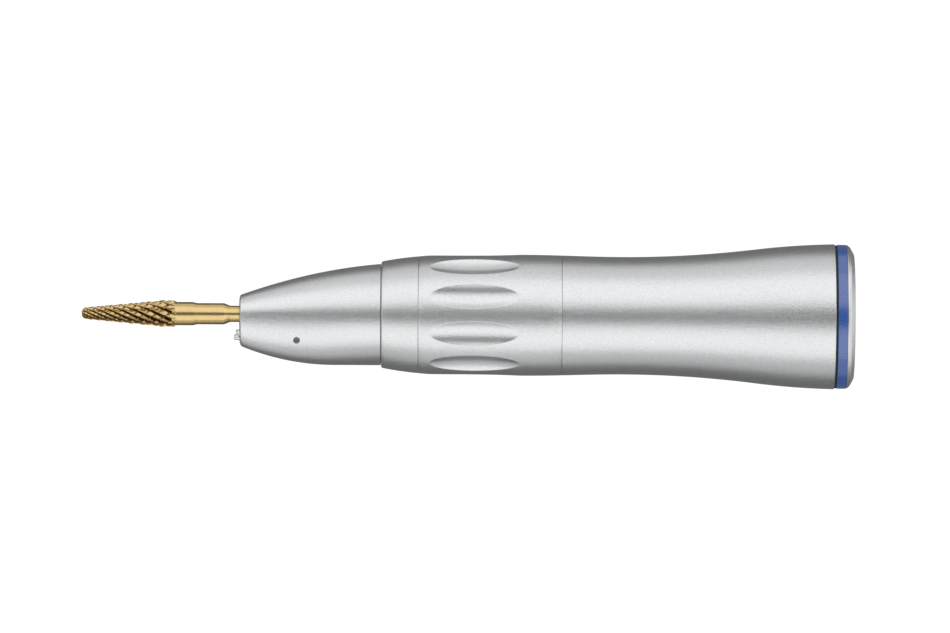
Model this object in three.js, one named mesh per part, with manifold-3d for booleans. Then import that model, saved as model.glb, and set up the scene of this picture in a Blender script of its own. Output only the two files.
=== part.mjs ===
// Straight dental handpiece with a twist-grip chuck, an external spray nozzle and a carbide bur.
// Units are millimetres and +Z is up. The main axis is X: the nose points to -X, and the motor socket
// opens to +X. The origin is on the axis, in the rear end face, where the drive motor meets the handpiece.
import * as THREE from "three";
import { mergeVertices } from "three/addons/utils/BufferGeometryUtils.js";
import Module from "manifold-3d";

const wasm = await Module();
wasm.setup();

// ---------------------------------------------------------------------------------------------
// Driving dimensions
// ---------------------------------------------------------------------------------------------

// Clearances
const fitGap = 0.05; // radial gap between two fixed round pieces
const runGap = 0.09; // radial gap between two pieces that turn or slide on each other
const endGap = 0.05; // axial gap between neighbours that touch on the real object
const seamGap = 0.1; // visible joint at each end of the turning grip ring
const lineClearance = 0.3; // between the spray lines and what turns above them

// Lengths of the casing pieces, from the rear end to the nose
const endRingLength = 1.1;
const markRingLength = 1.4;
const rearSealLength = 0.3;
const bodyLength = 39.2;
const gripLength = 20.75;
const collarLength = 5.35;
const noseLength = 20.4;

// Bur
const shankRadius = 1.175; // the 2.35 mm shank that straight handpieces take
const burLength = 44.5;
const burInsertion = 21.8; // length of shank held behind the nose face
const cutterLength = 13;
const cutterRadius = 2;
const cutterTipRadius = 0.9;
const neckRadius = 1.53;
const neckLength = 7.5;
const neckCollarRadius = 1.68; // just behind the cutter
const neckCollarLength = 3;
const neckTaper = 0.85;
const shankChamfer = 0.3;

// Chuck and spindle
const colletClearance = 0.025; // shank in the closed collet
const colletWall = 0.4;
const colletSlitWidth = 0.3;
const colletTravel = 0.8;
const spindleTipWall = 0.32;
const spindleWall = 0.7;
const springRoomRadius = 2.2;
const springWireRadius = 0.25;
const springTurns = 6;
const drawbarRadius = 1.25;
const drawbarCollarLength = 1.4;
const crossPinRadius = 0.6;
const releaseRingLength = 2;
const colletOverhang = 2.1; // collet behind the end of the shank
const springSetback = 1.1; // collet to the front of the spring
const drawbarLead = 4; // drawbar collar in front of the cross pin
const drawbarTail = 2.4; // drawbar behind the cross pin
const stopWall = 0.8;
const drawbarStubRadius = 0.85;

// Ball bearings, both alike
const bearingOuterRadius = 4;
const bearingWidth = 3;
const raceWall = 0.55;
const ballGrooveDepth = 0.1;
const ballPlay = 0.07;
const ballCount = 8;
const frontBearingSetback = 8; // nose face to the front of the front bearing
const bearingNutLength = 1.2;
const retainerLength = 1.8;
const sealLength = 2;
const sealRoomRadius = 3;

// Spray lines
const tubeRadius = 0.45;
const tubeWall = 0.15;
const tubeSpacing = 2.0; // between the water line and the air line
const upperOutletRadius = 0.33;
const lowerOutletRadius = 0.38;
const upperOutletReach = 0.5;
const lowerOutletReach = 0.75;
const nozzleDepth = 3.1; // nozzle plug behind the nose face
const nozzleFootDrop = 3.1; // top of the nozzle's wide foot, below the axis
const nozzleFootLength = 1.1;
const lineSpigotLength = 0.4; // of each line, that stands in the socket plate

// Twist mechanism
const sliderTravel = 1.2;
const gripTurn = THREE.MathUtils.degToRad(45);
const guidePinRadius = 0.75;
const sliderWall = 0.8;
const sliderFlangeLength = 1;
const sliderLead = 2.2; // slider in front of its pins
const frameWall = 0.8;
const camWall = 0.7;
const gripWall = 1.22;
const pinSetback = 9.75; // front of the grip ring to the guide pins
const oRingRadius = 0.36;
const oRingSetback = 0.7; // cam sleeve to the middle of each O-ring
const camFrontSetback = 1.85;
const camRearSetback = 1.2;

// Flutes of the grip ring
const fluteCount = 10;
const fluteDepth = 0.45;
const fluteHollowRadius = 7.5;
const fluteLength = 12.6;
const fluteSetback = 8.05; // front of the grip ring to the middle of the flutes

// Outline of the casing
const noseTipWall = 0.51;
const noseTipDrop = 4.55; // below the axis: the nose bulges downwards round the spray lines
const noseRootWall = 0.7;
const noseBellyLength = 13.7; // length over which the underside swells out
const noseThroatLength = 3.4; // narrow bore behind the nose face
const noseThroatFlare = 1.2; // from the narrow bore to the room for the seal
const retainerClearance = 0.2;
const collarStep = 0.36;
const waistDip = 0.25;
const waistSetback = 8.5; // front of the body to its waist
const shoulderSetback = 11.2; // rear of the body to its shoulder
const shoulderDrop = 0.78;
const bodyRearWall = 0.9;

// Motor socket
const socketRadius = 8;
const socketStep = 1; // the socket is narrower beyond its mouth
const mouthLength = 10;
const socketDepth = 22;
const sleeveWall = 0.8;
const sleeveNeckLength = 3.5; // the part of the sleeve that grips the frame tube
const hubWall = 0.65;
const hubLength = 5;
const plateThickness = 1.5;
const dogRadius = 3;
const dogReach = 5.8;
const dogSlotWidth = 1.8;

// Nose port
const portRadius = 0.44;
const portSetback = 8.3;
const portDrop = 3.82;
const portDepth = 1.3;

// Smoothness of round faces
const casingSegments = 32;
const gripSegments = 40;
const shaftSegments = 20;
const smallSegments = 10;

// ---------------------------------------------------------------------------------------------
// Places along the axis
// ---------------------------------------------------------------------------------------------

const endRingFront = -endRingLength;
const markRingFront = endRingFront - markRingLength;
const bodyRear = markRingFront - rearSealLength;
const bodyFront = bodyRear - bodyLength;
const gripFront = bodyFront - gripLength;
const collarFront = gripFront - collarLength;
const noseFront = collarFront - noseLength;

const mouthFront = -mouthLength;
const sleeveStep = mouthFront - sleeveWall;
const socketFloor = -socketDepth;
const plateFront = socketFloor - plateThickness;

const frontBearingX = noseFront + frontBearingSetback;
const frontBearingRear = frontBearingX + bearingWidth;
const rearBearingRear = plateFront - endGap * 4 - bearingNutLength;
const rearBearingX = rearBearingRear - bearingWidth;

const pinX = gripFront + pinSetback;
const releaseFront = pinX - releaseRingLength / 2;
const releaseLead = sliderTravel - colletTravel + endGap; // the slider moves idly before it meets the ring
const sliderFlangeFront = pinX + releaseRingLength / 2 + releaseLead;
const sliderRear = sliderFlangeFront + sliderFlangeLength;
const sliderFront = pinX - sliderLead;

const shankRear = noseFront + burInsertion;
const burTip = shankRear - burLength;
const cutterRear = burTip + cutterLength;
const colletRear = shankRear + colletOverhang;
const springFront = colletRear + springSetback;
const drawbarCollarFront = pinX - drawbarLead;
const drawbarRear = pinX + drawbarTail;

// ---------------------------------------------------------------------------------------------
// Radii, from the bur outwards
// ---------------------------------------------------------------------------------------------

const colletBore = shankRadius + colletClearance;
const colletRadius = colletBore + colletWall;
const spindleTipBore = colletRadius + fitGap;
const spindleTipRadius = spindleTipBore + spindleTipWall;
const raceBore = spindleTipRadius + 0.03;
const spindleRadius = springRoomRadius + spindleWall;
const ballCircleRadius = (raceBore + bearingOuterRadius) / 2;
const ballRadius = (bearingOuterRadius - raceBore) / 2 - raceWall + ballGrooveDepth - ballPlay;
const bearingSeatRadius = bearingOuterRadius + fitGap;

const releaseRingBore = spindleRadius + runGap;
const tubeCircleRadius = bearingSeatRadius + 0.25 + tubeRadius;
const releaseRingRadius = tubeCircleRadius - tubeRadius - lineClearance;
const tubeHoleRadius = tubeRadius + 0.07;
const spigotBore = tubeCircleRadius + tubeRadius + 0.1;
const spigotRadius = spigotBore + 0.45;
const frameBore = spigotRadius + fitGap;
const frameRadius = frameBore + frameWall;
const sliderRadius = frameBore - runGap;
const camBore = frameRadius + runGap;
const camRadius = camBore + camWall;
const gripBore = camRadius + fitGap;
const gripRadius = gripBore + gripWall;
const collarBore = frameRadius + fitGap;

const apertureRadius = spindleTipRadius + 0.22;
const noseTipRise = apertureRadius + noseTipWall;
const noseRootRadius = frameRadius + noseRootWall;
const collarFrontRadius = noseRootRadius + collarStep;
const waistRadius = gripRadius - waistDip;

const sleeveRadius = socketRadius + sleeveWall;
const deepSocketRadius = socketRadius - socketStep;
const sleeveNeckRadius = collarBore + sleeveWall;
const deepSleeveRadius = Math.max(deepSocketRadius + sleeveWall, sleeveNeckRadius);
const bodyBore = sleeveNeckRadius + fitGap;
const hubBore = sleeveRadius + fitGap;
const hubRadius = hubBore + hubWall;
const endRadius = hubRadius + fitGap + bodyRearWall;
const shoulderRadius = endRadius - shoulderDrop;

// The two spray lines lie side by side under the spindle.
const tubeDrop = Math.sqrt(tubeCircleRadius ** 2 - (tubeSpacing / 2) ** 2);

// ---------------------------------------------------------------------------------------------
// Making solids
// ---------------------------------------------------------------------------------------------

// Turns a three.js geometry into a manifold solid: equal vertices are joined and flat slivers dropped.
function solid(geometry) {
  const bare = geometry.clone();
  bare.deleteAttribute("normal");
  bare.deleteAttribute("uv");
  const merged = mergeVertices(bare, 1e-4);
  const corners = merged.index.array;
  const kept = [];
  for (let i = 0; i < corners.length; i += 3) {
    const [a, b, c] = [corners[i], corners[i + 1], corners[i + 2]];
    if (a !== b && b !== c && c !== a) kept.push(a, b, c);
  }
  return new wasm.Manifold(
    new wasm.Mesh({
      numProp: 3,
      vertProperties: merged.attributes.position.array,
      triVerts: new Uint32Array(kept),
    }),
  );
}

// Turns a manifold solid back into a three.js geometry.
function geometryOf(body) {
  const made = body.getMesh();
  const geometry = new THREE.BufferGeometry();
  geometry.setAttribute("position", new THREE.BufferAttribute(made.vertProperties, 3));
  geometry.setIndex(new THREE.BufferAttribute(made.triVerts, 1));
  geometry.computeVertexNormals();
  return geometry;
}

// A solid turned round the X axis. The profile is a list of [x, radius] corners. A profile that doesn't
// start and end on the axis is a ring, and closes on itself.
function turned(profile, segments) {
  const onAxis = profile[0][1] === 0 && profile[profile.length - 1][1] === 0;
  let twiceArea = 0;
  profile.forEach(([x, r], i) => {
    const [nextX, nextR] = profile[(i + 1) % profile.length];
    twiceArea += x * nextR - nextX * r;
  });
  const corners = twiceArea > 0 ? [...profile].reverse() : [...profile];
  if (!onAxis) corners.push(corners[0]);
  const points = corners.map(([x, r]) => new THREE.Vector2(r, x));
  return solid(new THREE.LatheGeometry(points, segments).rotateZ(-Math.PI / 2));
}

// A plain ring or sleeve between two places on the axis.
function ring(front, rear, bore, radius, segments = casingSegments) {
  return turned([[front, bore], [front, radius], [rear, radius], [rear, bore]], segments);
}

// A plain round bar between two places on the axis.
function bar(front, rear, radius, segments = shaftSegments) {
  return turned([[front, 0], [front, radius], [rear, radius], [rear, 0]], segments);
}

// A round bar that points away from the main axis, at an angle round it (0 is +Y, 90 degrees is +Z).
function radialBar(x, angle, inner, outer, radius) {
  const geometry = new THREE.CylinderGeometry(radius, radius, outer - inner, smallSegments);
  geometry.translate(0, (inner + outer) / 2, 0);
  geometry.rotateX(angle);
  geometry.translate(x, 0, 0);
  return solid(geometry);
}

function block(front, rear, left, right, bottom, top) {
  const geometry = new THREE.BoxGeometry(rear - front, right - left, top - bottom);
  geometry.translate((front + rear) / 2, (left + right) / 2, (bottom + top) / 2);
  return solid(geometry);
}

// The outline of a slot with round ends, unrolled flat: [angle, x] corners along a path on a cylinder.
function slotOutline(start, end, halfWidth, radius) {
  const sideSteps = start.angle === end.angle ? 1 : 6;
  const endSteps = 5;
  const [u0, x0] = [start.angle * radius, start.x];
  const [u1, x1] = [end.angle * radius, end.x];
  const heading = Math.atan2(x1 - x0, u1 - u0);
  const corners = [];
  for (const side of [0, 1]) {
    const [cu, cx] = side ? [u0, x0] : [u1, x1];
    const first = heading - Math.PI / 2 + side * Math.PI;
    for (let i = 0; i <= endSteps; i++) {
      const turn = first + (Math.PI * i) / endSteps;
      corners.push([cu + halfWidth * Math.cos(turn), cx + halfWidth * Math.sin(turn)]);
    }
    const [nu, nx] = side ? [u1 - u0, x1 - x0] : [u0 - u1, x0 - x1];
    const [lu, lx] = corners[corners.length - 1];
    for (let i = 1; i < sideSteps; i++) {
      corners.push([lu + (nu * i) / sideSteps, lx + (nx * i) / sideSteps]);
    }
  }
  return corners.map(([u, x]) => new THREE.Vector2(u / radius, x));
}

// A cutter with that outline, bent round the axis, from one radius to another.
function wrappedCutter(outline, inner, outer) {
  const shape = new THREE.Shape(outline);
  const geometry = new THREE.ExtrudeGeometry(shape, { depth: outer - inner, bevelEnabled: false });
  const position = geometry.attributes.position;
  for (let i = 0; i < position.count; i++) {
    const [angle, x, height] = [position.getX(i), position.getY(i), position.getZ(i)];
    const radius = inner + height;
    position.setXYZ(i, x, radius * Math.cos(angle), radius * Math.sin(angle));
  }
  return solid(geometry);
}

// ---------------------------------------------------------------------------------------------
// Outline of the casing
// ---------------------------------------------------------------------------------------------

// A smooth curve between two places, each with its own radius and slope.
function blend(x, from, to) {
  const length = to.x - from.x;
  const t = (x - from.x) / length;
  const rise = t * t * (3 - 2 * t);
  return (
    from.r * (1 - rise) +
    to.r * rise +
    length * (t * (1 - t) * (1 - t) * from.slope - t * t * (1 - t) * to.slope)
  );
}

const casingStations = [
  { x: collarFront, r: collarFrontRadius, slope: 0.2 },
  { x: bodyFront - 5, r: gripRadius, slope: 0 },
  { x: bodyFront + waistSetback, r: waistRadius, slope: 0 },
  { x: bodyRear - shoulderSetback, r: shoulderRadius, slope: 0.122 },
  { x: bodyRear, r: endRadius, slope: 0.02 },
];

// Outer radius of the collar, grip ring and body.
function casingRadius(x) {
  const last = casingStations.length - 2;
  const i = Math.min(casingStations.findIndex((s, k) => k > last || x <= casingStations[k + 1].x), last);
  return blend(x, casingStations[i], casingStations[i + 1]);
}

// Height of the nose above the axis, and its depth below it.
function noseRise(x) {
  const tip = { x: noseFront, r: noseTipRise, slope: 0.36 };
  const root = { x: collarFront, r: noseRootRadius, slope: 0.08 };
  return blend(x, tip, root);
}

function noseDrop(x) {
  const tip = { x: noseFront, r: noseTipDrop, slope: 0.41 };
  const belly = { x: noseFront + noseBellyLength, r: noseRootRadius, slope: 0 };
  return x < belly.x ? blend(x, tip, belly) : noseRootRadius;
}

// Corners along a curve, evenly spaced.
function along(from, to, steps, radiusAt) {
  return Array.from({ length: steps + 1 }, (_, i) => {
    const x = from + ((to - from) * i) / steps;
    return [x, radiusAt(x)];
  });
}

// ---------------------------------------------------------------------------------------------
// Scene graph
// ---------------------------------------------------------------------------------------------

const finishes = {
  satinSteel: { color: 0xc9cacb, roughness: 0.38, metalness: 1 },
  polishedSteel: { color: 0xdadbdc, roughness: 0.15, metalness: 1 },
  hardenedSteel: { color: 0x9c9ea1, roughness: 0.3, metalness: 1 },
  gold: { color: 0xd9b25f, roughness: 0.3, metalness: 1 },
  blue: { color: 0x24508f, roughness: 0.35, metalness: 0.6 },
  rubber: { color: 0x111214, roughness: 0.8, metalness: 0 },
  brass: { color: 0xb98f4a, roughness: 0.35, metalness: 1 },
  polymer: { color: 0xb08a4c, roughness: 0.6, metalness: 0 },
};

const handpiece = new THREE.Group();
const assemblies = {};
for (const name of ["housing", "grip", "slider", "spindle", "chuck", "bur"]) {
  assemblies[name] = new THREE.Group();
  handpiece.add(assemblies[name]);
}

// Adds one named piece to an assembly. The piece is made round its own seat and then placed there.
function addPiece(assembly, name, finish, body, seat = 0) {
  const geometry = geometryOf(body);
  geometry.translate(-seat, 0, 0);
  const mesh = new THREE.Mesh(geometry, new THREE.MeshStandardMaterial(finishes[finish]));
  mesh.name = name;
  mesh.position.x = seat;
  assemblies[assembly].add(mesh);
}

// ---------------------------------------------------------------------------------------------
// Nose
// ---------------------------------------------------------------------------------------------

const retainerRear = frontBearingRear + endGap + retainerLength;
const noseSpigotRear = gripFront - 0.65;
const nozzleRear = noseFront + nozzleDepth;

function noseCone() {
  const edge = 0.3;
  const outline = [
    [noseFront, 0],
    [noseFront, noseRise(noseFront) - edge],
    ...along(noseFront + edge, collarFront, 8, noseRise),
    [collarFront, spigotRadius],
    [noseSpigotRear, spigotRadius],
    [noseSpigotRear, 0],
  ];
  // The underside is drawn out into a half ellipse, deeper than the round upper side.
  const geometry = geometryOf(turned(outline, casingSegments));
  const position = geometry.attributes.position;
  for (let i = 0; i < position.count; i++) {
    const [x, z] = [position.getX(i), position.getZ(i)];
    if (z < 0 && x < collarFront) position.setZ(i, (z * noseDrop(x)) / noseRise(x));
  }
  const bore = turned(
    [
      [noseFront - 1, 0],
      [noseFront - 1, apertureRadius],
      [noseFront + noseThroatLength, apertureRadius],
      [noseFront + noseThroatLength + noseThroatFlare, sealRoomRadius],
      [frontBearingX - endGap, sealRoomRadius],
      [frontBearingX - endGap, bearingSeatRadius],
      [frontBearingRear + endGap, bearingSeatRadius],
      [frontBearingRear + endGap, bearingSeatRadius + retainerClearance],
      [retainerRear, bearingSeatRadius + retainerClearance],
      [retainerRear + 1, spigotBore],
      [noseSpigotRear + 1, spigotBore],
      [noseSpigotRear + 1, 0],
    ],
    casingSegments,
  );
  let shell = solid(geometry).subtract(bore);
  for (const side of [-1, 1]) shell = shell.subtract(tubePassage(nozzleRear - 0.2, retainerRear + 1, side));
  shell = shell.subtract(nozzleBody(fitGap, 1));
  return shell.subtract(portHole());
}

// The blind port in the left flank of the nose.
function portHole() {
  const x = noseFront + portSetback;
  const flank = noseRise(x) * Math.sqrt(1 - (portDrop / noseDrop(x)) ** 2);
  const geometry = new THREE.CylinderGeometry(portRadius, portRadius, portDepth + 1, smallSegments);
  geometry.translate(x, -flank + portDepth - (portDepth + 1) / 2, -portDrop);
  return solid(geometry);
}

// The spray nozzle: a plug in the nose face with a wider foot that meets both lines. A gap makes the
// same shape larger, as the pocket that it sits in.
const outletGap = 0.07;
const upperOutletDrop = apertureRadius + outletGap + upperOutletRadius;
const lowerOutletDrop = upperOutletDrop + upperOutletRadius + lowerOutletRadius + 0.05;
const plugBottom = -lowerOutletDrop - lowerOutletRadius - 0.12;

function nozzleBody(gap, forward) {
  const plugHalf = lowerOutletRadius + 0.1;
  const footHalf = tubeSpacing / 2 + tubeRadius + 0.05;
  const footBottom = -tubeDrop - tubeRadius;
  const footFront = nozzleRear - nozzleFootLength;
  const top = -apertureRadius - outletGap / 2;
  const plug = block(noseFront - forward, nozzleRear + gap, -plugHalf - gap, plugHalf + gap,
    plugBottom - gap, top + gap);
  const foot = block(footFront - gap, nozzleRear + gap, -footHalf - gap, footHalf + gap,
    footBottom - gap, -nozzleFootDrop + gap);
  return plug.add(foot);
}

function sprayNozzle() {
  const outlet = (reach, radius, drop) => {
    const stub = new THREE.CylinderGeometry(radius, radius, reach + 0.5, smallSegments);
    stub.rotateZ(Math.PI / 2);
    stub.translate(noseFront - reach + (reach + 0.5) / 2, 0, -drop);
    return solid(stub);
  };
  return nozzleBody(0, 0.1)
    .add(outlet(upperOutletReach, upperOutletRadius, upperOutletDrop))
    .add(outlet(lowerOutletReach, lowerOutletRadius, lowerOutletDrop));
}

// A hole for one spray line, between two places on the axis.
function tubePassage(front, rear, side) {
  const geometry = new THREE.CylinderGeometry(tubeHoleRadius, tubeHoleRadius, rear - front, smallSegments);
  geometry.rotateZ(Math.PI / 2);
  geometry.translate((front + rear) / 2, (side * tubeSpacing) / 2, -tubeDrop);
  return solid(geometry);
}

// Something turned that lies on the axis of one spray line.
function onTubeAxis(body, side) {
  const geometry = geometryOf(body);
  geometry.translate(0, (side * tubeSpacing) / 2, -tubeDrop);
  return solid(geometry);
}

function sprayTube(side) {
  const bore = tubeRadius - tubeWall;
  const pipe = ring(nozzleRear + endGap * 2, socketFloor - lineSpigotLength, bore, tubeRadius, smallSegments);
  return onTubeAxis(pipe, side);
}

addPiece("housing", "nose_cone", "satinSteel", noseCone(), noseFront);
addPiece("housing", "spray_nozzle", "polishedSteel", sprayNozzle(), noseFront);
addPiece("housing", "water_tube", "polishedSteel", sprayTube(-1), nozzleRear);
addPiece("housing", "air_tube", "polishedSteel", sprayTube(1), nozzleRear);

// A lip seal keeps spray and debris out of the front bearing.
const sealFront = frontBearingX - sealLength;
const sealRear = frontBearingX - endGap * 3;
const noseSeal = ring(sealFront, sealRear, spindleTipRadius + runGap, sealRoomRadius - fitGap, shaftSegments);
addPiece("housing", "nose_seal", "rubber", noseSeal, sealFront);

// A threaded ring holds the front bearing in its seat.
const retainerRadius = bearingSeatRadius + retainerClearance - fitGap;
const bearingRetainer = ring(frontBearingRear + endGap * 2, retainerRear, spindleRadius + runGap,
  retainerRadius, shaftSegments);
addPiece("housing", "bearing_retainer", "hardenedSteel", bearingRetainer, frontBearingRear);

// ---------------------------------------------------------------------------------------------
// Ball bearings
// ---------------------------------------------------------------------------------------------

// One raceway ring. The groove that the balls run in is an arc in its working face.
function race(front, bore, radius, grooveInBore) {
  const middle = front + bearingWidth / 2;
  const grooveRadius = ballRadius + ballPlay;
  const face = grooveInBore ? bore : radius;
  const away = Math.abs(ballCircleRadius - face);
  const halfWidth = Math.sqrt(grooveRadius ** 2 - away ** 2);
  const sweep = Math.asin(halfWidth / grooveRadius);
  const sign = grooveInBore ? 1 : -1;
  const arcSteps = 3;
  const groove = Array.from({ length: arcSteps + 1 }, (_, i) => {
    const turn = -sweep + (2 * sweep * i) / arcSteps;
    return [middle + grooveRadius * Math.sin(turn), ballCircleRadius + sign * grooveRadius * Math.cos(turn)];
  });
  const rear = front + bearingWidth;
  const profile = grooveInBore
    ? [[front, radius], [front, bore], ...groove, [rear, bore], [rear, radius]]
    : [[front, bore], [front, radius], ...groove, [rear, radius], [rear, bore]];
  return turned(profile, shaftSegments);
}

// The balls in their cage. They go round together, so they are one piece.
function ballSet(front) {
  const middle = front + bearingWidth / 2;
  const cageHalf = ballRadius * 1.3;
  const cageWall = 0.2;
  let set = ring(middle - cageHalf, middle + cageHalf, ballCircleRadius - cageWall,
    ballCircleRadius + cageWall, shaftSegments);
  for (let i = 0; i < ballCount; i++) {
    const angle = (2 * Math.PI * i) / ballCount;
    const ball = new THREE.SphereGeometry(ballRadius, 8, 5);
    ball.translate(middle, ballCircleRadius * Math.cos(angle), ballCircleRadius * Math.sin(angle));
    set = set.add(solid(ball));
  }
  return set;
}

for (const [name, front] of [["front", frontBearingX], ["rear", rearBearingX]]) {
  addPiece("housing", `${name}_outer_race`, "polishedSteel",
    race(front, bearingOuterRadius - raceWall, bearingOuterRadius, true), front);
  addPiece("spindle", `${name}_inner_race`, "polishedSteel",
    race(front, raceBore, raceBore + raceWall, false), front);
  addPiece("spindle", `${name}_ball_set`, "polymer", ballSet(front), front);
}

// ---------------------------------------------------------------------------------------------
// Frame, collar, seals
// ---------------------------------------------------------------------------------------------

const detentX = bodyFront - 2.4;
const detentBallRadius = 0.6;
const detentSpringRadius = frameBore - 0.15;
const detentBallCentre = detentSpringRadius + endGap + detentBallRadius;
const top = Math.PI / 2;
const pinAngles = [0, Math.PI];
const frameFront = collarFront + seamGap;
const frameRear = plateFront - endGap;

// The frame tube carries the nose, the collar, the grip ring and the body.
function frameTube() {
  const slotHalf = guidePinRadius + runGap;
  let tube = ring(frameFront, frameRear, frameBore, frameRadius);
  for (const angle of pinAngles) {
    const outline = slotOutline({ angle, x: pinX - sliderTravel }, { angle, x: pinX }, slotHalf, frameBore);
    tube = tube.subtract(wrappedCutter(outline, frameBore - 0.6, frameRadius + 0.6));
  }
  const ballHole = radialBar(detentX, top, frameBore - 0.5, frameRadius + 0.5, detentBallRadius + fitGap);
  return tube.subtract(ballHole);
}

function frontCollar() {
  const edge = 0.3;
  const rear = gripFront - seamGap / 2;
  const outline = [
    [collarFront + endGap, collarBore],
    [collarFront + endGap, casingRadius(collarFront) - edge * 0.7],
    ...along(collarFront + edge, rear, 4, casingRadius),
    [rear, collarBore],
  ];
  return turned(outline, casingSegments);
}

addPiece("housing", "frame_tube", "hardenedSteel", frameTube(), frameFront);
addPiece("housing", "front_collar", "satinSteel", frontCollar(), collarFront);

function oRing(x) {
  const middle = (frameRadius + gripBore) / 2;
  const sides = 6;
  const profile = Array.from({ length: sides }, (_, i) => {
    const turn = (2 * Math.PI * i) / sides;
    return [x + oRingRadius * Math.cos(turn), middle + oRingRadius * Math.sin(turn)];
  });
  return turned(profile, casingSegments);
}

const camFront = gripFront + camFrontSetback;
const camRear = bodyFront - camRearSetback;
addPiece("housing", "front_oring", "rubber", oRing(gripFront + camFrontSetback - oRingSetback), gripFront);
addPiece("housing", "rear_oring", "rubber", oRing(bodyFront - camRearSetback + oRingSetback), bodyFront);

// ---------------------------------------------------------------------------------------------
// Grip ring and cam sleeve
// ---------------------------------------------------------------------------------------------

// The ring has shallow scoops for the fingers, each hollowed by a long ellipsoid.
function gripRing() {
  const front = gripFront + seamGap / 2;
  const rear = bodyFront - seamGap / 2;
  let body = turned(
    [[front, gripBore], ...along(front, rear, 5, casingRadius), [rear, gripBore]],
    gripSegments,
  );
  const fluteX = gripFront + fluteSetback;
  const crest = casingRadius(fluteX);
  const taper = 1 - ((fluteHollowRadius - fluteDepth) / fluteHollowRadius) ** 2;
  const halfSpan = fluteLength / 2 / Math.sqrt(taper);
  for (let i = 0; i < fluteCount; i++) {
    const scoop = new THREE.SphereGeometry(1, 44, 28);
    scoop.rotateX(Math.PI / 2);
    scoop.scale(halfSpan, fluteHollowRadius, fluteHollowRadius);
    scoop.translate(fluteX, crest - fluteDepth + fluteHollowRadius, 0);
    scoop.rotateX(top + (2 * Math.PI * i) / fluteCount);
    body = body.subtract(solid(scoop));
  }
  return body;
}

// The sleeve inside the ring has a helical slot for each guide pin, and a groove for the detent ball.
function camSleeve() {
  const groove = detentBallRadius + runGap;
  const grooveRadius = detentBallCentre + detentBallRadius + runGap;
  let sleeve = turned(
    [
      [camFront, camBore],
      [camFront, camRadius],
      [camRear, camRadius],
      [camRear, camBore],
      [detentX + groove, camBore],
      [detentX + groove, grooveRadius],
      [detentX - groove, grooveRadius],
      [detentX - groove, camBore],
    ],
    casingSegments,
  );
  for (const angle of pinAngles) {
    const outline = slotOutline(
      { angle: angle - gripTurn, x: pinX - sliderTravel },
      { angle, x: pinX },
      guidePinRadius + runGap,
      camBore,
    );
    sleeve = sleeve.subtract(wrappedCutter(outline, camBore - 1, camRadius + 1));
  }
  return sleeve;
}

addPiece("grip", "grip_ring", "satinSteel", gripRing(), gripFront);
addPiece("grip", "cam_sleeve", "hardenedSteel", camSleeve(), camFront);

// A ball in the frame, pressed outwards by a split ring, holds the grip ring at each end of its turn.
const detentBall = new THREE.SphereGeometry(detentBallRadius, 8, 6);
detentBall.translate(detentX, 0, detentBallCentre);
addPiece("housing", "detent_ball", "polishedSteel", solid(detentBall), detentX);

function detentSpring() {
  const half = 0.6;
  const gapHalf = 0.5;
  return ring(detentX - half, detentX + half, spigotBore - 0.02, detentSpringRadius)
    .subtract(block(detentX - 1, detentX + 1, 0, frameRadius, -gapHalf, gapHalf));
}
addPiece("housing", "detent_spring", "hardenedSteel", detentSpring(), detentX);

// ---------------------------------------------------------------------------------------------
// Slider
// ---------------------------------------------------------------------------------------------

// The slider is open underneath, where it straddles the spray lines. Its flange pushes the release ring.
function sliderSleeve() {
  const channelHalf = tubeSpacing / 2 + tubeRadius + 0.5;
  const channelTop = -(tubeDrop - tubeRadius - 0.15);
  let sleeve = turned(
    [
      [sliderFront, sliderRadius - sliderWall],
      [sliderFront, sliderRadius],
      [sliderRear, sliderRadius],
      [sliderRear, releaseRingBore],
      [sliderFlangeFront, releaseRingBore],
      [sliderFlangeFront, sliderRadius - sliderWall],
    ],
    casingSegments,
  );
  sleeve = sleeve.subtract(
    block(sliderFront - 1, sliderRear + 1, -channelHalf, channelHalf, -frameRadius, channelTop),
  );
  for (const angle of pinAngles) {
    sleeve = sleeve.subtract(radialBar(pinX, angle, 3, frameRadius, guidePinRadius + fitGap));
  }
  return sleeve;
}

addPiece("slider", "slider_sleeve", "hardenedSteel", sliderSleeve(), pinX);
pinAngles.forEach((angle, i) => {
  addPiece("slider", `guide_pin_${i + 1}`, "polishedSteel",
    radialBar(pinX, angle, bearingOuterRadius + 0.3, camRadius - 0.1, guidePinRadius), pinX);
});

// ---------------------------------------------------------------------------------------------
// Spindle
// ---------------------------------------------------------------------------------------------

const spindleFront = noseFront + 0.3;
const spindleShoulder = frontBearingRear + endGap;
const coneLength = 1.2;
const coneFlare = 0.12;
const stubLength = 3;
const dogPinSetback = 1.1;
const dogPinRadius = 0.5;
const shaftJoint = drawbarRear + stubLength + 0.5;
const dogFront = socketFloor + endGap * 4;
const dogRear = socketFloor + dogReach;
const shaftRear = dogRear - 3.5;

// The hollow front spindle, with a window on each side for the cross pin.
function spindleBody() {
  const windowHalf = crossPinRadius + 0.12;
  const shell = turned(
    [
      [spindleFront, spindleTipBore + coneFlare],
      [spindleFront, spindleTipRadius],
      [spindleShoulder, spindleTipRadius],
      [spindleShoulder, spindleRadius],
      [shaftJoint, spindleRadius],
      [shaftJoint, springRoomRadius],
      [springFront, springRoomRadius],
      [springFront, spindleTipBore],
      [spindleFront + coneLength, spindleTipBore],
    ],
    shaftSegments,
  );
  const windowFront = pinX - colletTravel - windowHalf;
  const windowRear = pinX + windowHalf;
  return shell.subtract(block(windowFront, windowRear, -windowHalf, windowHalf, -frameRadius, frameRadius));
}

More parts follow.
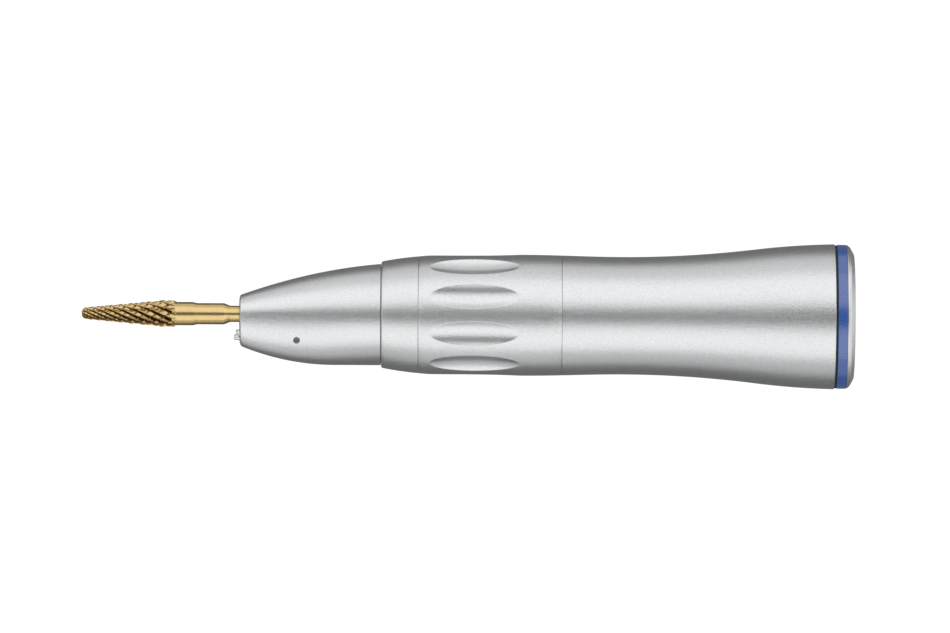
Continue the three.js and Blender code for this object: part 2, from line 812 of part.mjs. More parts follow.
// The rear shaft screws into the spindle, runs in the rear bearing and carries the drive dog.
function rearShaft() {
  return turned(
    [
      [shaftJoint - stubLength, 0],
      [shaftJoint - stubLength, springRoomRadius - fitGap],
      [shaftJoint + endGap, springRoomRadius - fitGap],
      [shaftJoint + endGap, spindleRadius],
      [rearBearingX - endGap, spindleRadius],
      [rearBearingX - endGap, spindleTipRadius],
      [shaftRear, spindleTipRadius],
      [shaftRear, 0],
    ],
    shaftSegments,
  ).subtract(radialBar(dogFront + dogPinSetback, 0, -dogRadius, dogRadius, dogPinRadius + fitGap));
}

function driveDog() {
  const slot = dogSlotWidth / 2;
  return ring(dogFront, dogRear, spindleTipRadius + fitGap, dogRadius, shaftSegments)
    .subtract(block(shaftRear, dogRear + 1, -dogRadius, dogRadius, -slot, slot))
    .subtract(radialBar(dogFront + dogPinSetback, 0, -dogRadius - 1, dogRadius + 1, dogPinRadius + fitGap));
}

addPiece("spindle", "spindle", "hardenedSteel", spindleBody(), spindleFront);
addPiece("spindle", "rear_shaft", "hardenedSteel", rearShaft(), shaftJoint);
addPiece("spindle", "drive_dog", "hardenedSteel", driveDog(), dogFront);
addPiece("spindle", "dog_pin", "polishedSteel",
  radialBar(dogFront + dogPinSetback, 0, -dogRadius + 0.1, dogRadius - 0.1, dogPinRadius), dogFront);
const bearingNut = ring(rearBearingRear + endGap, rearBearingRear + bearingNutLength,
  spindleTipRadius + fitGap, spindleRadius, shaftSegments);
addPiece("spindle", "bearing_nut", "hardenedSteel", bearingNut, rearBearingRear);

// The chuck spring, as short as it gets when the chuck is open.
class Helix extends THREE.Curve {
  constructor(front, rear, radius, turns) {
    super();
    Object.assign(this, { front, rear, radius, turns });
  }
  getPoint(t, target = new THREE.Vector3()) {
    const turn = 2 * Math.PI * this.turns * t;
    const x = this.front + (this.rear - this.front) * t;
    return target.set(x, this.radius * Math.cos(turn), this.radius * Math.sin(turn));
  }
}

function chuckSpring() {
  const coilRadius = (drawbarRadius + springRoomRadius) / 2;
  const margin = springWireRadius + endGap;
  const springRear = drawbarCollarFront - colletTravel;
  const path = new Helix(springFront + margin, springRear - margin, coilRadius, springTurns);
  const section = new THREE.Shape();
  section.absarc(0, 0, springWireRadius, 0, 2 * Math.PI);
  return solid(new THREE.ExtrudeGeometry(section, {
    curveSegments: 2,
    steps: springTurns * 8,
    extrudePath: path,
    bevelEnabled: false,
  }));
}
addPiece("spindle", "chuck_spring", "polishedSteel", chuckSpring(), springFront);

// ---------------------------------------------------------------------------------------------
// Chuck: collet, drawbar, cross pin and release ring slide together inside and round the spindle
// ---------------------------------------------------------------------------------------------

function colletBody() {
  const front = noseFront + 0.2;
  let body = turned(
    [
      [front, colletBore],
      [front, colletRadius + coneFlare],
      [front + coneLength, colletRadius],
      [colletRear, colletRadius],
      [colletRear, drawbarStubRadius + fitGap],
      [shankRear + stopWall, drawbarStubRadius + fitGap],
      [shankRear + stopWall, 0],
      [shankRear + endGap, 0],
      [shankRear + endGap, colletBore],
    ],
    shaftSegments,
  );
  const slitRear = frontBearingRear + 4;
  const reach = colletRadius + 1;
  for (const angle of [0, 1, 2].map((i) => (2 * Math.PI * i) / 3)) {
    const slit = new THREE.BoxGeometry(slitRear - front + 1, reach, colletSlitWidth);
    slit.translate((slitRear + front - 1) / 2, reach / 2, 0);
    slit.rotateX(angle);
    body = body.subtract(solid(slit));
  }
  return body;
}

function drawbar() {
  const collarRear = drawbarCollarFront + drawbarCollarLength;
  const collarRadius = springRoomRadius - runGap;
  return turned(
    [
      [shankRear + stopWall + endGap, 0],
      [shankRear + stopWall + endGap, drawbarStubRadius],
      [colletRear + endGap, drawbarStubRadius],
      [colletRear + endGap, drawbarRadius],
      [drawbarCollarFront, drawbarRadius],
      [drawbarCollarFront, collarRadius],
      [collarRear, collarRadius],
      [collarRear, drawbarRadius],
      [drawbarRear, drawbarRadius],
      [drawbarRear, 0],
    ],
    shaftSegments,
  ).subtract(radialBar(pinX, top, -frameRadius, frameRadius, crossPinRadius + fitGap));
}

addPiece("chuck", "collet", "hardenedSteel", colletBody(), noseFront);
addPiece("chuck", "drawbar", "hardenedSteel", drawbar(), colletRear);
addPiece("chuck", "cross_pin", "polishedSteel",
  radialBar(pinX, top, -releaseRingRadius + 0.05, releaseRingRadius - 0.05, crossPinRadius), pinX);
addPiece("chuck", "release_ring", "brass",
  ring(releaseFront, releaseFront + releaseRingLength, releaseRingBore, releaseRingRadius, shaftSegments)
    .subtract(radialBar(pinX, top, -frameRadius, frameRadius, crossPinRadius + fitGap)),
  pinX);

// ---------------------------------------------------------------------------------------------
// Rear bearing carrier, socket and rear casing
// ---------------------------------------------------------------------------------------------

const washerLength = 0.6;
const carrierLip = 0.45;
const carrierBore = spindleRadius + 0.3;

function bearingCarrier() {
  const front = rearBearingX - washerLength - carrierLip - endGap * 3;
  let carrier = turned(
    [
      [front, carrierBore],
      [front, frameBore - fitGap],
      [frameRear, frameBore - fitGap],
      [frameRear, bearingSeatRadius],
      [front + carrierLip, bearingSeatRadius],
      [front + carrierLip, carrierBore],
    ],
    casingSegments,
  );
  for (const side of [-1, 1]) carrier = carrier.subtract(tubePassage(front - 1, frameRear + 1, side));
  return carrier;
}

function socketPlate() {
  let plate = ring(plateFront, socketFloor, dogRadius + 0.2, deepSocketRadius - fitGap);
  for (const side of [-1, 1]) {
    const hole = bar(plateFront - 1, socketFloor + 1, tubeHoleRadius + 0.4, smallSegments);
    plate = plate.subtract(onTubeAxis(hole, side));
  }
  return plate;
}

// The sleeve that the motor nose slides into.
function couplingSleeve() {
  const neckFront = plateFront - sleeveNeckLength;
  const neckRear = plateFront - sleeveWall;
  const rear = endRingFront - endGap;
  const grooveX = mouthFront + 4;
  return turned(
    [
      [neckFront, collarBore],
      [neckFront, sleeveNeckRadius],
      [neckRear, sleeveNeckRadius],
      [neckRear, deepSleeveRadius],
      [sleeveStep, deepSleeveRadius],
      [sleeveStep, sleeveRadius],
      [rear, sleeveRadius],
      [rear, socketRadius],
      [grooveX + 1, socketRadius],
      [grooveX + 1, socketRadius + 0.3],
      [grooveX, socketRadius + 0.3],
      [grooveX, socketRadius],
      [mouthFront, socketRadius],
      [mouthFront, deepSocketRadius],
      [plateFront - endGap, deepSocketRadius],
      [plateFront - endGap, collarBore],
    ],
    casingSegments,
  );
}

function rearBody() {
  const front = bodyFront + seamGap / 2;
  const lipRear = bodyFront + 2;
  const sleeveFront = plateFront - sleeveWall - endGap * 4;
  const stepX = sleeveStep - 0.4;
  const hubFront = endRingFront - hubLength - endGap;
  return turned(
    [
      [front, collarBore],
      ...along(front, bodyRear, 10, casingRadius),
      [bodyRear, hubRadius + fitGap],
      [hubFront, hubRadius + fitGap],
      [hubFront, hubBore],
      [stepX, hubBore],
      [stepX, deepSleeveRadius + fitGap],
      [sleeveFront, deepSleeveRadius + fitGap],
      [sleeveFront, bodyBore],
      [lipRear, bodyBore],
      [lipRear, collarBore],
    ],
    casingSegments,
  );
}

// The end ring closes the rear: its threaded hub clamps the mark ring and seal against the body.
function endRing() {
  const edge = 1;
  const bevel = 0.5;
  const corner = Array.from({ length: 4 }, (_, i) => {
    const turn = (Math.PI / 2) * (i / 3);
    return [-edge + edge * Math.sin(turn), endRadius - edge + edge * Math.cos(turn)];
  });
  return turned(
    [
      [endRingFront - hubLength, hubBore],
      [endRingFront - hubLength, hubRadius],
      [endRingFront, hubRadius],
      [endRingFront, endRadius],
      ...corner,
      [0, socketRadius + fitGap + bevel],
      [-bevel, socketRadius + fitGap],
      [endRingFront, socketRadius + fitGap],
      [endRingFront, hubBore],
    ],
    casingSegments,
  );
}

addPiece("housing", "bearing_carrier", "brass", bearingCarrier(), rearBearingX);
const preloadWasher = ring(rearBearingX - endGap - washerLength, rearBearingX - endGap, carrierBore,
  bearingOuterRadius - fitGap, shaftSegments);
addPiece("housing", "preload_washer", "polishedSteel", preloadWasher, rearBearingX);
addPiece("housing", "socket_plate", "brass", socketPlate(), plateFront);
const ferruleWall = 0.35;
for (const [name, side] of [["water_ferrule", -1], ["air_ferrule", 1]]) {
  const ferruleRadius = tubeHoleRadius + ferruleWall;
  const ferrule = ring(plateFront, socketFloor - endGap, tubeHoleRadius, ferruleRadius, smallSegments);
  addPiece("housing", name, "rubber", onTubeAxis(ferrule, side), plateFront);
}
addPiece("housing", "coupling_sleeve", "polishedSteel", couplingSleeve(), plateFront);
addPiece("housing", "rear_body", "satinSteel", rearBody(), bodyFront);
addPiece("housing", "rear_seal", "rubber",
  ring(bodyRear + 0.01, markRingFront - 0.01, hubRadius + fitGap, endRadius - 0.15), markRingFront);
addPiece("housing", "mark_ring", "blue",
  ring(markRingFront, endRingFront - 0.01, hubRadius + fitGap, endRadius - 0.08), markRingFront);
addPiece("housing", "end_ring", "satinSteel", endRing(), 0);

// ---------------------------------------------------------------------------------------------
// Bur
// ---------------------------------------------------------------------------------------------

// The cutter widens from its rounded tip, and a bevel leads back to the neck.
function burHead() {
  const bevelFront = cutterRear - 0.6;
  const tipRound = 0.5;
  return turned(
    [
      [burTip, 0],
      [burTip, cutterTipRadius - tipRound],
      [burTip + tipRound, cutterTipRadius],
      [burTip + tipRound * 2.5, cutterTipRadius + 0.15],
      [bevelFront - 1, cutterRadius],
      [bevelFront, cutterRadius],
      [cutterRear, neckCollarRadius],
      [cutterRear, 0],
    ],
    shaftSegments,
  );
}

function burShank() {
  const neckFront = cutterRear + 0.01;
  const neckRear = cutterRear + neckLength;
  return turned(
    [
      [neckFront, 0],
      [neckFront, neckCollarRadius],
      [neckFront + neckCollarLength, neckCollarRadius],
      [neckFront + neckCollarLength + 0.3, neckRadius],
      [neckRear, neckRadius],
      [neckRear + neckTaper, shankRadius],
      [shankRear - shankChamfer, shankRadius],
      [shankRear, shankRadius - shankChamfer],
      [shankRear, 0],
    ],
    shaftSegments,
  );
}

addPiece("bur", "bur_head", "gold", burHead(), burTip);
addPiece("bur", "bur_shank", "polishedSteel", burShank(), cutterRear);

export default handpiece;
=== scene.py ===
"""Straight dental handpiece: a twist-grip chuck, a spray nozzle in the nose and a coated carbide cutter.

Sizes are in metres. The main axis is X, the nose points to -X, the motor socket opens to +X and +Z is up.
"""

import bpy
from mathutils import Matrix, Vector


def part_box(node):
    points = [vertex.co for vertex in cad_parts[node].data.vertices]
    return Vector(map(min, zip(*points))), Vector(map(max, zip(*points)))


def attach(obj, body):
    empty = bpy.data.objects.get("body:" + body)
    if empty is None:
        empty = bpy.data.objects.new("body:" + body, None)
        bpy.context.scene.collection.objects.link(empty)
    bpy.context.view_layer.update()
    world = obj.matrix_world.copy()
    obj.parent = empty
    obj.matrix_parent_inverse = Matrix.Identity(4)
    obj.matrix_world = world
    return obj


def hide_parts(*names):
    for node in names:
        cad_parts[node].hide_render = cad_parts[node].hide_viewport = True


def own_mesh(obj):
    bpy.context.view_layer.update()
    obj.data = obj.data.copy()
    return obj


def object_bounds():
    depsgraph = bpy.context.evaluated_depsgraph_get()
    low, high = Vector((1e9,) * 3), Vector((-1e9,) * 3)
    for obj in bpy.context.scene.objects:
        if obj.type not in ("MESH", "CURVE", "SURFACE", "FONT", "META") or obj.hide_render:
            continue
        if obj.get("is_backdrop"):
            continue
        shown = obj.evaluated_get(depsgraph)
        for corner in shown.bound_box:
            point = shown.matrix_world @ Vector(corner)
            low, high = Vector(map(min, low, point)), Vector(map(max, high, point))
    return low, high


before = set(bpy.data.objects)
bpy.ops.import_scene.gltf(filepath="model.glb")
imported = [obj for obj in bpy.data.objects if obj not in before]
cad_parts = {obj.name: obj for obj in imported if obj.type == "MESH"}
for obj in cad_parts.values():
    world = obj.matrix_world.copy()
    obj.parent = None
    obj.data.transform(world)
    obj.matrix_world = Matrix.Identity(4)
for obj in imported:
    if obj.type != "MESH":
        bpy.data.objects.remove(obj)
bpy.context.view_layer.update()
node_boxes = {node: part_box(node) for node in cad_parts}

import math

import bmesh
import bpy
from bpy.props import FloatProperty, FloatVectorProperty, IntProperty, PointerProperty
from bpy.types import Operator, Panel, PropertyGroup
from mathutils import Matrix, Vector

bl_info = {
    "name": "Straight dental handpiece",
    "version": (1, 0, 0),
    "blender": (4, 5, 0),
    "location": "3D View > Sidebar > Handpiece",
    "description": "Builds the fine surfaces and finishes of a straight dental handpiece",
    "category": "Add Mesh",
}

MM = 0.001
FIT = 0.05 * MM  # gap between two fixed pieces
EDGE = 0.1 * MM  # usual rounding of a turned edge


# Places and sizes of the fixed frame

def front(node):
    """Where a node starts on the main axis."""
    return node_boxes[node][0].x


def rear(node):
    """Where a node ends on the main axis."""
    return node_boxes[node][1].x


def radius(node):
    """Outer radius of a node that is turned round the main axis."""
    return node_boxes[node][1].y


def middle(node):
    """Middle of a node's box."""
    low, high = node_boxes[node]
    return (low + high) / 2


# Properties

def linear(hex_colour):
    """An sRGB hex value as linear red, green, blue and alpha."""
    levels = [int(hex_colour[i:i + 2], 16) / 255 for i in (1, 3, 5)]
    return [c / 12.92 if c <= 0.04045 else ((c + 0.055) / 1.055) ** 2.4 for c in levels] + [1.0]


def length(name, millimetres, description):
    """A length property, with its default given in millimetres."""
    return FloatProperty(name=name, description=description, default=millimetres * MM, min=0, precision=5,
                         unit="LENGTH")


def colour(name, hex_colour, description):
    """A colour property, with its default given as an sRGB hex value."""
    return FloatVectorProperty(name=name, description=description, default=linear(hex_colour), size=4,
                               min=0, max=1, subtype="COLOR")


class CasingSizes(PropertyGroup):
    waist_dip: length("Waist dip", 0.25, "How much slimmer the body is at its waist than the grip ring")
    waist_setback: length("Waist setback", 8.5, "From the front of the body to its waist")
    shoulder_setback: length("Shoulder setback", 11.2, "From the rear of the body to its shoulder")
    shoulder_drop: length("Shoulder drop", 0.78, "How much slimmer the shoulder is than the rear end")
    collar_step: length("Collar step", 0.36, "How far the collar stands proud of the nose")
    collar_edge: length("Collar edge", 0.34, "Rounding of the collar's front edge")
    seam_edge: length("Seam edge", 0.06, "Rounding of the edges at each seam of the casing")
    nose_tip_rise: length("Nose rise", 2.7, "Height of the nose tip above the axis")
    nose_tip_drop: length("Nose drop", 4.55, "Depth of the nose tip below the axis")
    nose_belly: length("Nose belly", 13.7, "Length over which the underside of the nose swells out")
    nose_edge: length("Nose edge", 0.28, "Rounding of the upper edge of the nose face")
    nose_crown: length("Nose crown", 0.16, "How far the nose face bulges forwards")
    end_edge: length("End edge", 0.6, "Rounding of the rear edge of the handpiece")
    end_slope: length("End slope", 0.45, "How much the rear ring narrows before its rounded edge")
    end_drop: length("End drop", 1.45, "How much narrower the rear face is than the rear ring")


class GripSizes(PropertyGroup):
    flutes: IntProperty(name="Flutes", description="Finger hollows round the grip ring", default=10, min=3)
    flute_depth: length("Flute depth", 0.72, "Depth of each hollow")
    flute_length: length("Flute length", 14.0, "Length of each hollow along the axis")
    flute_setback: length("Flute setback", 7.7, "From the ring's front to the middle of the hollows")
    hollow_radius: length("Hollow radius", 3.4, "Radius that each hollow is ground to")
    rim_edge: length("Rim edge", 0.03, "How much the rim of each hollow is softened by blasting")


class CutterSizes(PropertyGroup):
    teeth: IntProperty(name="Teeth", description="Cutting edges round the head", default=10, min=3)
    cross_cuts: IntProperty(name="Cross cuts", description="Chip breakers round the head", default=8, min=3)
    tooth_helix: FloatProperty(name="Tooth helix", description="Angle of the cutting edges to the axis",
                               default=math.radians(27), subtype="ANGLE")
    cross_helix: FloatProperty(name="Cross helix", description="Angle of the chip breakers to the axis",
                               default=math.radians(40), subtype="ANGLE")
    tip_radius: length("Tip radius", 0.88, "Radius of the head behind its rounded tip")
    tip_edge: length("Tip edge", 0.75, "Rounding of the tip")
    bevel: length("Bevel", 0.7, "Length of the bevel behind the widest part")
    neck_radius: length("Neck radius", 1.53, "Radius of the slimmer part of the neck")
    collar_radius: length("Collar radius", 1.68, "Radius of the neck just behind the head")
    collar_length: length("Collar length", 3.0, "Length of the wider part of the neck")
    neck_length: length("Neck length", 7.5, "Length of the whole neck")
    taper_length: length("Taper length", 0.85, "Length of the taper from the neck to the shank")


class StageSizes(PropertyGroup):
    camera_distance: FloatProperty(name="Camera distance", description="From the camera to the main axis",
                                   default=1.5, min=0.1, unit="LENGTH")
    frame_width: length("Frame width", 136.9, "Width of the view at the main axis")
    aim_right: length("Aim right", 1.06, "How far right of the middle of the object the camera aims")
    aim_down: length("Aim down", 0.21, "How far below the axis the camera aims")
    camera_roll: FloatProperty(name="Camera roll", description="Roll of the camera about its line of sight",
                               default=math.radians(-0.28), subtype="ANGLE")
    brightness: FloatProperty(name="Brightness", description="Brightness of the key softboxes", default=1.33)
    fill: FloatProperty(name="Fill", description="Brightness of the soft light from all round", default=0.16)


class Finishes(PropertyGroup):
    steel: colour("Steel", "#C9CACB", "Stainless steel of the casing")
    hard_steel: colour("Hardened steel", "#A9AAAD", "Hardened steel of the working parts")
    gold: colour("Gold", "#CDB37E", "Titanium nitride on the cutter")
    # The gullet colour is painted shade: a dark brown mixed into the gold towards the bottom of the cutter's
    # gullets.
    gullet: colour("Gullets", "#664A1E", "Thin brown coating at the bottom of the cutter's gullets")
    blue: colour("Blue", "#1C4A90", "Dye in the mark ring")
    rubber: colour("Rubber", "#141517", "Fluorocarbon rubber of the seals")
    brass: colour("Brass", "#C9A25C", "Brass of the carrier, plate and release ring")
    phenolic: colour("Phenolic", "#9A6A34", "Resin-bonded cotton of the ball cages")
    floor: colour("Floor", "#F4F4F3", "Pale matt floor")


# Making meshes

def rounded(corners, steps=5):
    """A closed outline of (x, radius, rounding) corners, where each rounded corner becomes an arc."""
    outline = []
    for i, (x, r, rounding) in enumerate(corners):
        if not rounding:
            outline.append((x, r))
            continue
        here = Vector((x, r))
        before = (Vector(corners[i - 1][:2]) - here).normalized()
        after = (Vector(corners[(i + 1) % len(corners)][:2]) - here).normalized()
        half = before.angle(after) / 2
        centre = here + (before + after).normalized() * rounding / math.sin(half)
        reach = rounding / math.tan(half)
        start, end = (math.atan2(*(here + side * reach - centre).yx) for side in (before, after))
        sweep = (end - start + math.pi) % (2 * math.pi) - math.pi
        for k in range(steps + 1):
            angle = start + sweep * k / steps
            outline.append((centre.x + rounding * math.cos(angle), centre.y + rounding * math.sin(angle)))
    return outline


def curve(start, end, steps, radius_at):
    """Corners evenly spaced along a curved outline, without rounding."""
    places = [start + (end - start) * i / steps for i in range(steps + 1)]
    return [(x, radius_at(x), 0) for x in places]


def turned(outline, turns=144, axis=(0, 0), start=0.0):
    """Strips of points: an outline of (x, radius) turned round the X axis, or round a line beside it."""
    angles = [start + 2 * math.pi * i / turns for i in range(turns)]
    return [[(x, axis[0] + r * math.cos(a), axis[1] + r * math.sin(a)) for x, r in outline] for a in angles]


def loft(strips, ring=True, mesh=None, closed=True):
    """The faces between neighbouring strips of points. With ring, each strip's last point meets its first.

    When closed, the last strip meets the first. If not, each of the two gets a cap.
    """
    mesh = mesh or bmesh.new()
    rows = [[mesh.verts.new(point) for point in strip] for strip in strips]
    across = len(rows[0]) if ring else len(rows[0]) - 1
    for row, beside in zip(rows, rows[1:] + (rows[:1] if closed else [])):
        for j in range(across):
            k = (j + 1) % len(row)
            mesh.faces.new((row[j], row[k], beside[k], beside[j]))
    if not closed:
        for row in (rows[0], rows[-1]):
            mesh.faces.new(row)
    return mesh


def prism(section, start, end, core):
    """A (y, z) section drawn out along X. Its ends are closed towards a point at the height of the core."""
    return loft([[(start, 0, core), (start, y, z), (end, y, z), (end, 0, core)] for y, z in section], False)


def bar(start, end, thickness, turns=32, axis=(0, 0)):
    """A round bar along X, closed at both ends."""
    return loft(turned([(start, 0), (start, thickness), (end, thickness), (end, 0)], turns, axis), False)


def block(low, high):
    """A closed box between two corners."""
    mesh = bmesh.new()
    made = bmesh.ops.create_cube(mesh, size=1)["verts"]
    for vert in made:
        vert.co = Vector(h if c > 0 else l for c, l, h in zip(vert.co, low, high))
    return mesh


def cross_bar(x, reach, thickness, turns=32):
    """A round bar along Y through the main axis, closed at both ends."""
    mesh = bar(-reach, reach, thickness, turns)
    for vert in mesh.verts:
        vert.co = (x + vert.co.y, vert.co.x, vert.co.z)
    return mesh


def solid(name, mesh):
    """A closed object made from a mesh, with equal points joined and its faces turned outwards."""
    bmesh.ops.remove_doubles(mesh, verts=mesh.verts, dist=1e-7)
    bmesh.ops.recalc_face_normals(mesh, faces=mesh.faces)
    data = bpy.data.meshes.new(name)
    mesh.to_mesh(data)
    mesh.free()
    made = bpy.data.objects.new(name, data)
    bpy.context.scene.collection.objects.link(made)
    return made


def lathe(name, corners, turns=144, axis=(0, 0), ring=True, steps=5):
    """A turned piece from its (x, radius, rounding) corners. Without ring, its outline ends on the axis."""
    return solid(name, loft(turned(rounded(corners, steps), turns, axis), ring))


def carve(piece, *meshes):
    """Cuts closed meshes out of a piece."""
    cutters = [solid("cutter", mesh) for mesh in meshes]
    for cutter in cutters:
        step = piece.modifiers.new("carve", "BOOLEAN")
        step.operation = "DIFFERENCE"
        step.solver = "EXACT"
        step.object = cutter
    graph = bpy.context.evaluated_depsgraph_get()
    piece.data = bpy.data.meshes.new_from_object(piece.evaluated_get(graph))
    piece.modifiers.clear()
    for cutter in cutters:
        bpy.data.objects.remove(cutter)
    return piece


def dress(piece, body, finish, slot, *nodes, crease=30):
    """Shades a piece, gives it its finish, sets what it moves with and hides the nodes that it stands for."""
    piece.data.shade_smooth()
    piece.data.set_sharp_from_angle(angle=math.radians(crease))
    piece.data.materials.clear()
    piece.data.materials.append(finish)
    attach(piece, body)
    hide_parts(*nodes)
    return piece


# Finishes

# Point attribute of the cutter's head: 0 at the cutting edges, 1 at the bottom of the deepest gullets. It is
# the mask of the painted shade in the gullets.
GULLET_SHADE_DEPTH = "gullet_shade_depth"


def add_node(tree, kind, settings):
    """Adds a shader node. Each setting is an option of the node, or the value or link of an input."""
    made = tree.nodes.new("ShaderNode" + kind)
    for key, value in settings.items():
        if isinstance(key, str) and hasattr(made, key):
            setattr(made, key, value)
        elif isinstance(value, bpy.types.NodeSocket):
            tree.links.new(value, made.inputs[key])
        else:
            made.inputs[key].default_value = value
    return made


def new_finish(name, settings):
    """A material with one surface shader, and the place of each point in metres."""
    made = bpy.data.materials.new(name)
    made.use_nodes = True
    tree = made.node_tree
    tree.nodes.clear()
    shader = add_node(tree, "BsdfPrincipled", settings)
    add_node(tree, "OutputMaterial", {"Surface": shader.outputs[0]})
    return made, tree, shader, add_node(tree, "TexCoord", {}).outputs["Object"]


def speckle(tree, place, size):
    """Uneven spots of a given size, from 0 to 1."""
    return add_node(tree, "TexNoise", {"Vector": place, "Scale": 1 / size, "Detail": 2.0}).outputs[0]


def rings(tree, place, pitch):
    """Uneven rings round the main axis, as a turning tool leaves them, from 0 to 1."""
    along = add_node(tree, "Mapping", {"Vector": place, "Scale": (1 / pitch, 0, 0)})
    return add_node(tree, "TexNoise", {"Vector": along.outputs[0], "Scale": 1, "Detail": 1.0}).outputs[0]


def tint(tree, value, dark, light):
    """A colour between two others, by a 0 to 1 pattern."""
    return add_node(tree, "Mix", {"data_type": "RGBA", 0: value, 6: dark, 7: light}).outputs[2]


def colour_by(tree, shader, pattern, base, dark, light):
    """Colours a finish by a 0 to 1 pattern, between a dark and a light share of its base colour."""
    shades = [[min(1.0, c * share) for c in base[:3]] + [1.0] for share in (dark, light)]
    mixed = tint(tree, pattern, *shades)
    tree.links.new(mixed, shader.inputs["Base Color"])
    return mixed


def roughen(tree, shader, pattern, low, high):
    """Varies the roughness of a finish between two values by a 0 to 1 pattern."""
    scaled = {"Value": pattern, "From Min": 0.3, "From Max": 0.7, "To Min": low, "To Max": high}
    tree.links.new(add_node(tree, "MapRange", scaled).outputs[0], shader.inputs["Roughness"])


def relief(tree, shader, height, depth):
    """Raises the surface by a 0 to 1 pattern, up to a depth in metres."""
    bumped = add_node(tree, "Bump", {"Height": height, "Distance": depth, "Strength": 1.0})
    tree.links.new(bumped.outputs[0], shader.inputs["Normal"])


def blasted_stainless(base):
    """Stainless steel blasted with glass beads: a soft satin sheen with a fine sparkle and no direction.

    The beads leave dents of about 0.05 mm. They are drawn five times as wide, so that they show.
    """
    made, tree, shader, place = new_finish("bead_blasted_stainless_steel", {"Metallic": 1.0})
    dents = speckle(tree, place, 0.25 * MM)
    colour_by(tree, shader, dents, base, 0.8, 1.2)
    roughen(tree, shader, dents, 0.32, 0.38)
    relief(tree, shader, dents, 0.025 * MM)
    return made


def polished_stainless(base):
    """Stainless steel turned and then polished: mirror-like, with the last trace of the turning rings."""
    made, tree, shader, place = new_finish("polished_stainless_steel", {"Metallic": 1.0, "Base Color": base})
    marks = rings(tree, place, 0.08 * MM)
    roughen(tree, shader, marks, 0.1, 0.17)
    relief(tree, shader, marks, 0.0006 * MM)
    return made


def ground_tool_steel(base):
    """Hardened tool steel, ground between wheels: darker than stainless, with fine rings round the work."""
    made, tree, shader, place = new_finish("ground_tool_steel", {"Metallic": 1.0})
    marks = rings(tree, place, 0.05 * MM)
    colour_by(tree, shader, speckle(tree, place, 3 * MM), base, 0.85, 1)
    roughen(tree, shader, marks, 0.22, 0.34)
    relief(tree, shader, marks, 0.0012 * MM)
    return made


def nitride_coating(base):
    """Titanium nitride grown on ground carbide: a warm gold skin that keeps the grinding marks below it.

    Towards the bottom of the gullets the gold is mixed into a dark brown. This brown is painted shade for the
    dark gullets.
    """
    made, tree, shader, place = new_finish("titanium_nitride_coating", {"Metallic": 1.0})
    skin = colour_by(tree, shader, speckle(tree, place, 1.2 * MM), base, 0.86, 1.05)
    # Painted shade: the gold turns to dark brown with the depth of the gullets.
    gullet = add_node(tree, "Attribute", {"attribute_name": GULLET_SHADE_DEPTH}).outputs["Fac"]
    brown = list(bpy.context.scene.handpiece_finishes.gullet)
    tree.links.new(tint(tree, gullet, skin, brown), shader.inputs["Base Color"])
    grit = speckle(tree, place, 0.09 * MM)
    roughen(tree, shader, grit, 0.2, 0.28)
    relief(tree, shader, grit, 0.002 * MM)
    return made


def dyed_anodising(base):
    """Anodised aluminium, dyed and sealed: an even deep blue under a thin whitish gloss of clear oxide."""
    settings = {"Metallic": 0.0, "IOR": 1.77, "Coat Weight": 0.6, "Coat Roughness": 0.22}
    made, tree, shader, place = new_finish("dyed_anodised_aluminium", settings)
    pores = speckle(tree, place, 0.15 * MM)
    colour_by(tree, shader, pores, base, 0.94, 1.05)
    roughen(tree, shader, pores, 0.24, 0.3)
    relief(tree, shader, rings(tree, place, 0.1 * MM), 0.0008 * MM)
    return made


def moulded_rubber(base):
    """Fluorocarbon rubber moulded in a blasted tool: near black and matt, with a faint bloom."""
    made, tree, shader, place = new_finish("moulded_fluorocarbon_rubber", {"IOR": 1.4})
    bloom = speckle(tree, place, 0.5 * MM)
    colour_by(tree, shader, bloom, base, 0.8, 1.6)
    roughen(tree, shader, bloom, 0.55, 0.75)
    relief(tree, shader, speckle(tree, place, 0.1 * MM), 0.004 * MM)
    return made


def turned_brass(base):
    """Free-cutting brass straight off the lathe: bright yellow, with rings at the tool's feed."""
    made, tree, shader, place = new_finish("turned_brass", {"Metallic": 1.0})
    marks = rings(tree, place, 0.06 * MM)
    colour_by(tree, shader, speckle(tree, place, 1.5 * MM), base, 0.8, 1)
    roughen(tree, shader, marks, 0.2, 0.32)
    relief(tree, shader, marks, 0.0012 * MM)
    return made


def cotton_phenolic(base):
    """Cotton cloth bonded with phenolic resin and machined: brown, with threads 0.2 mm apart cut open."""
    made, tree, shader, place = new_finish("machined_cotton_phenolic", {"IOR": 1.6})
    # A wave texture of scale 1 has about 3.18 waves to a metre.
    waves = {"Vector": place, "Scale": 0.314 / (0.2 * MM), "Distortion": 3.0}
    threads = add_node(tree, "TexWave", waves).outputs[1]
    colour_by(tree, shader, threads, base, 0.6, 1.2)
    roughen(tree, shader, threads, 0.42, 0.55)
    relief(tree, shader, threads, 0.004 * MM)
    return made


def matt_backdrop(name, base, strength):
    """Seamless paper, lit evenly so that it has no shade of its own, with a trace of its long fibres."""
    settings = {"Roughness": 0.9, "Emission Strength": strength, "Base Color": (0, 0, 0, 1),
                "Specular IOR Level": 0.0}
    made, tree, shader, place = new_finish(name, settings)
    fibres = tint(tree, speckle(tree, place, 20 * MM), [c * 0.998 for c in base], base)
    tree.links.new(fibres, shader.inputs["Emission Color"])
    return made


def finish_of(name):
    """Makes a finish the first time that it is asked for, and gives the same one afterwards."""
    colours = bpy.context.scene.handpiece_finishes
    makers = {
        "blasted": (blasted_stainless, colours.steel),
        "polished": (polished_stainless, colours.steel),
        "ground": (ground_tool_steel, colours.hard_steel),
        "gold": (nitride_coating, colours.gold),
        "blue": (dyed_anodising, colours.blue),
        "rubber": (moulded_rubber, colours.rubber),
        "brass": (turned_brass, colours.brass),
        "phenolic": (cotton_phenolic, colours.phenolic),
    }
    if name not in finish_of.made:
        maker, base = makers[name]
        finish_of.made[name] = maker(list(base))
    return finish_of.made[name]


finish_of.made = {}


# Outline of the casing

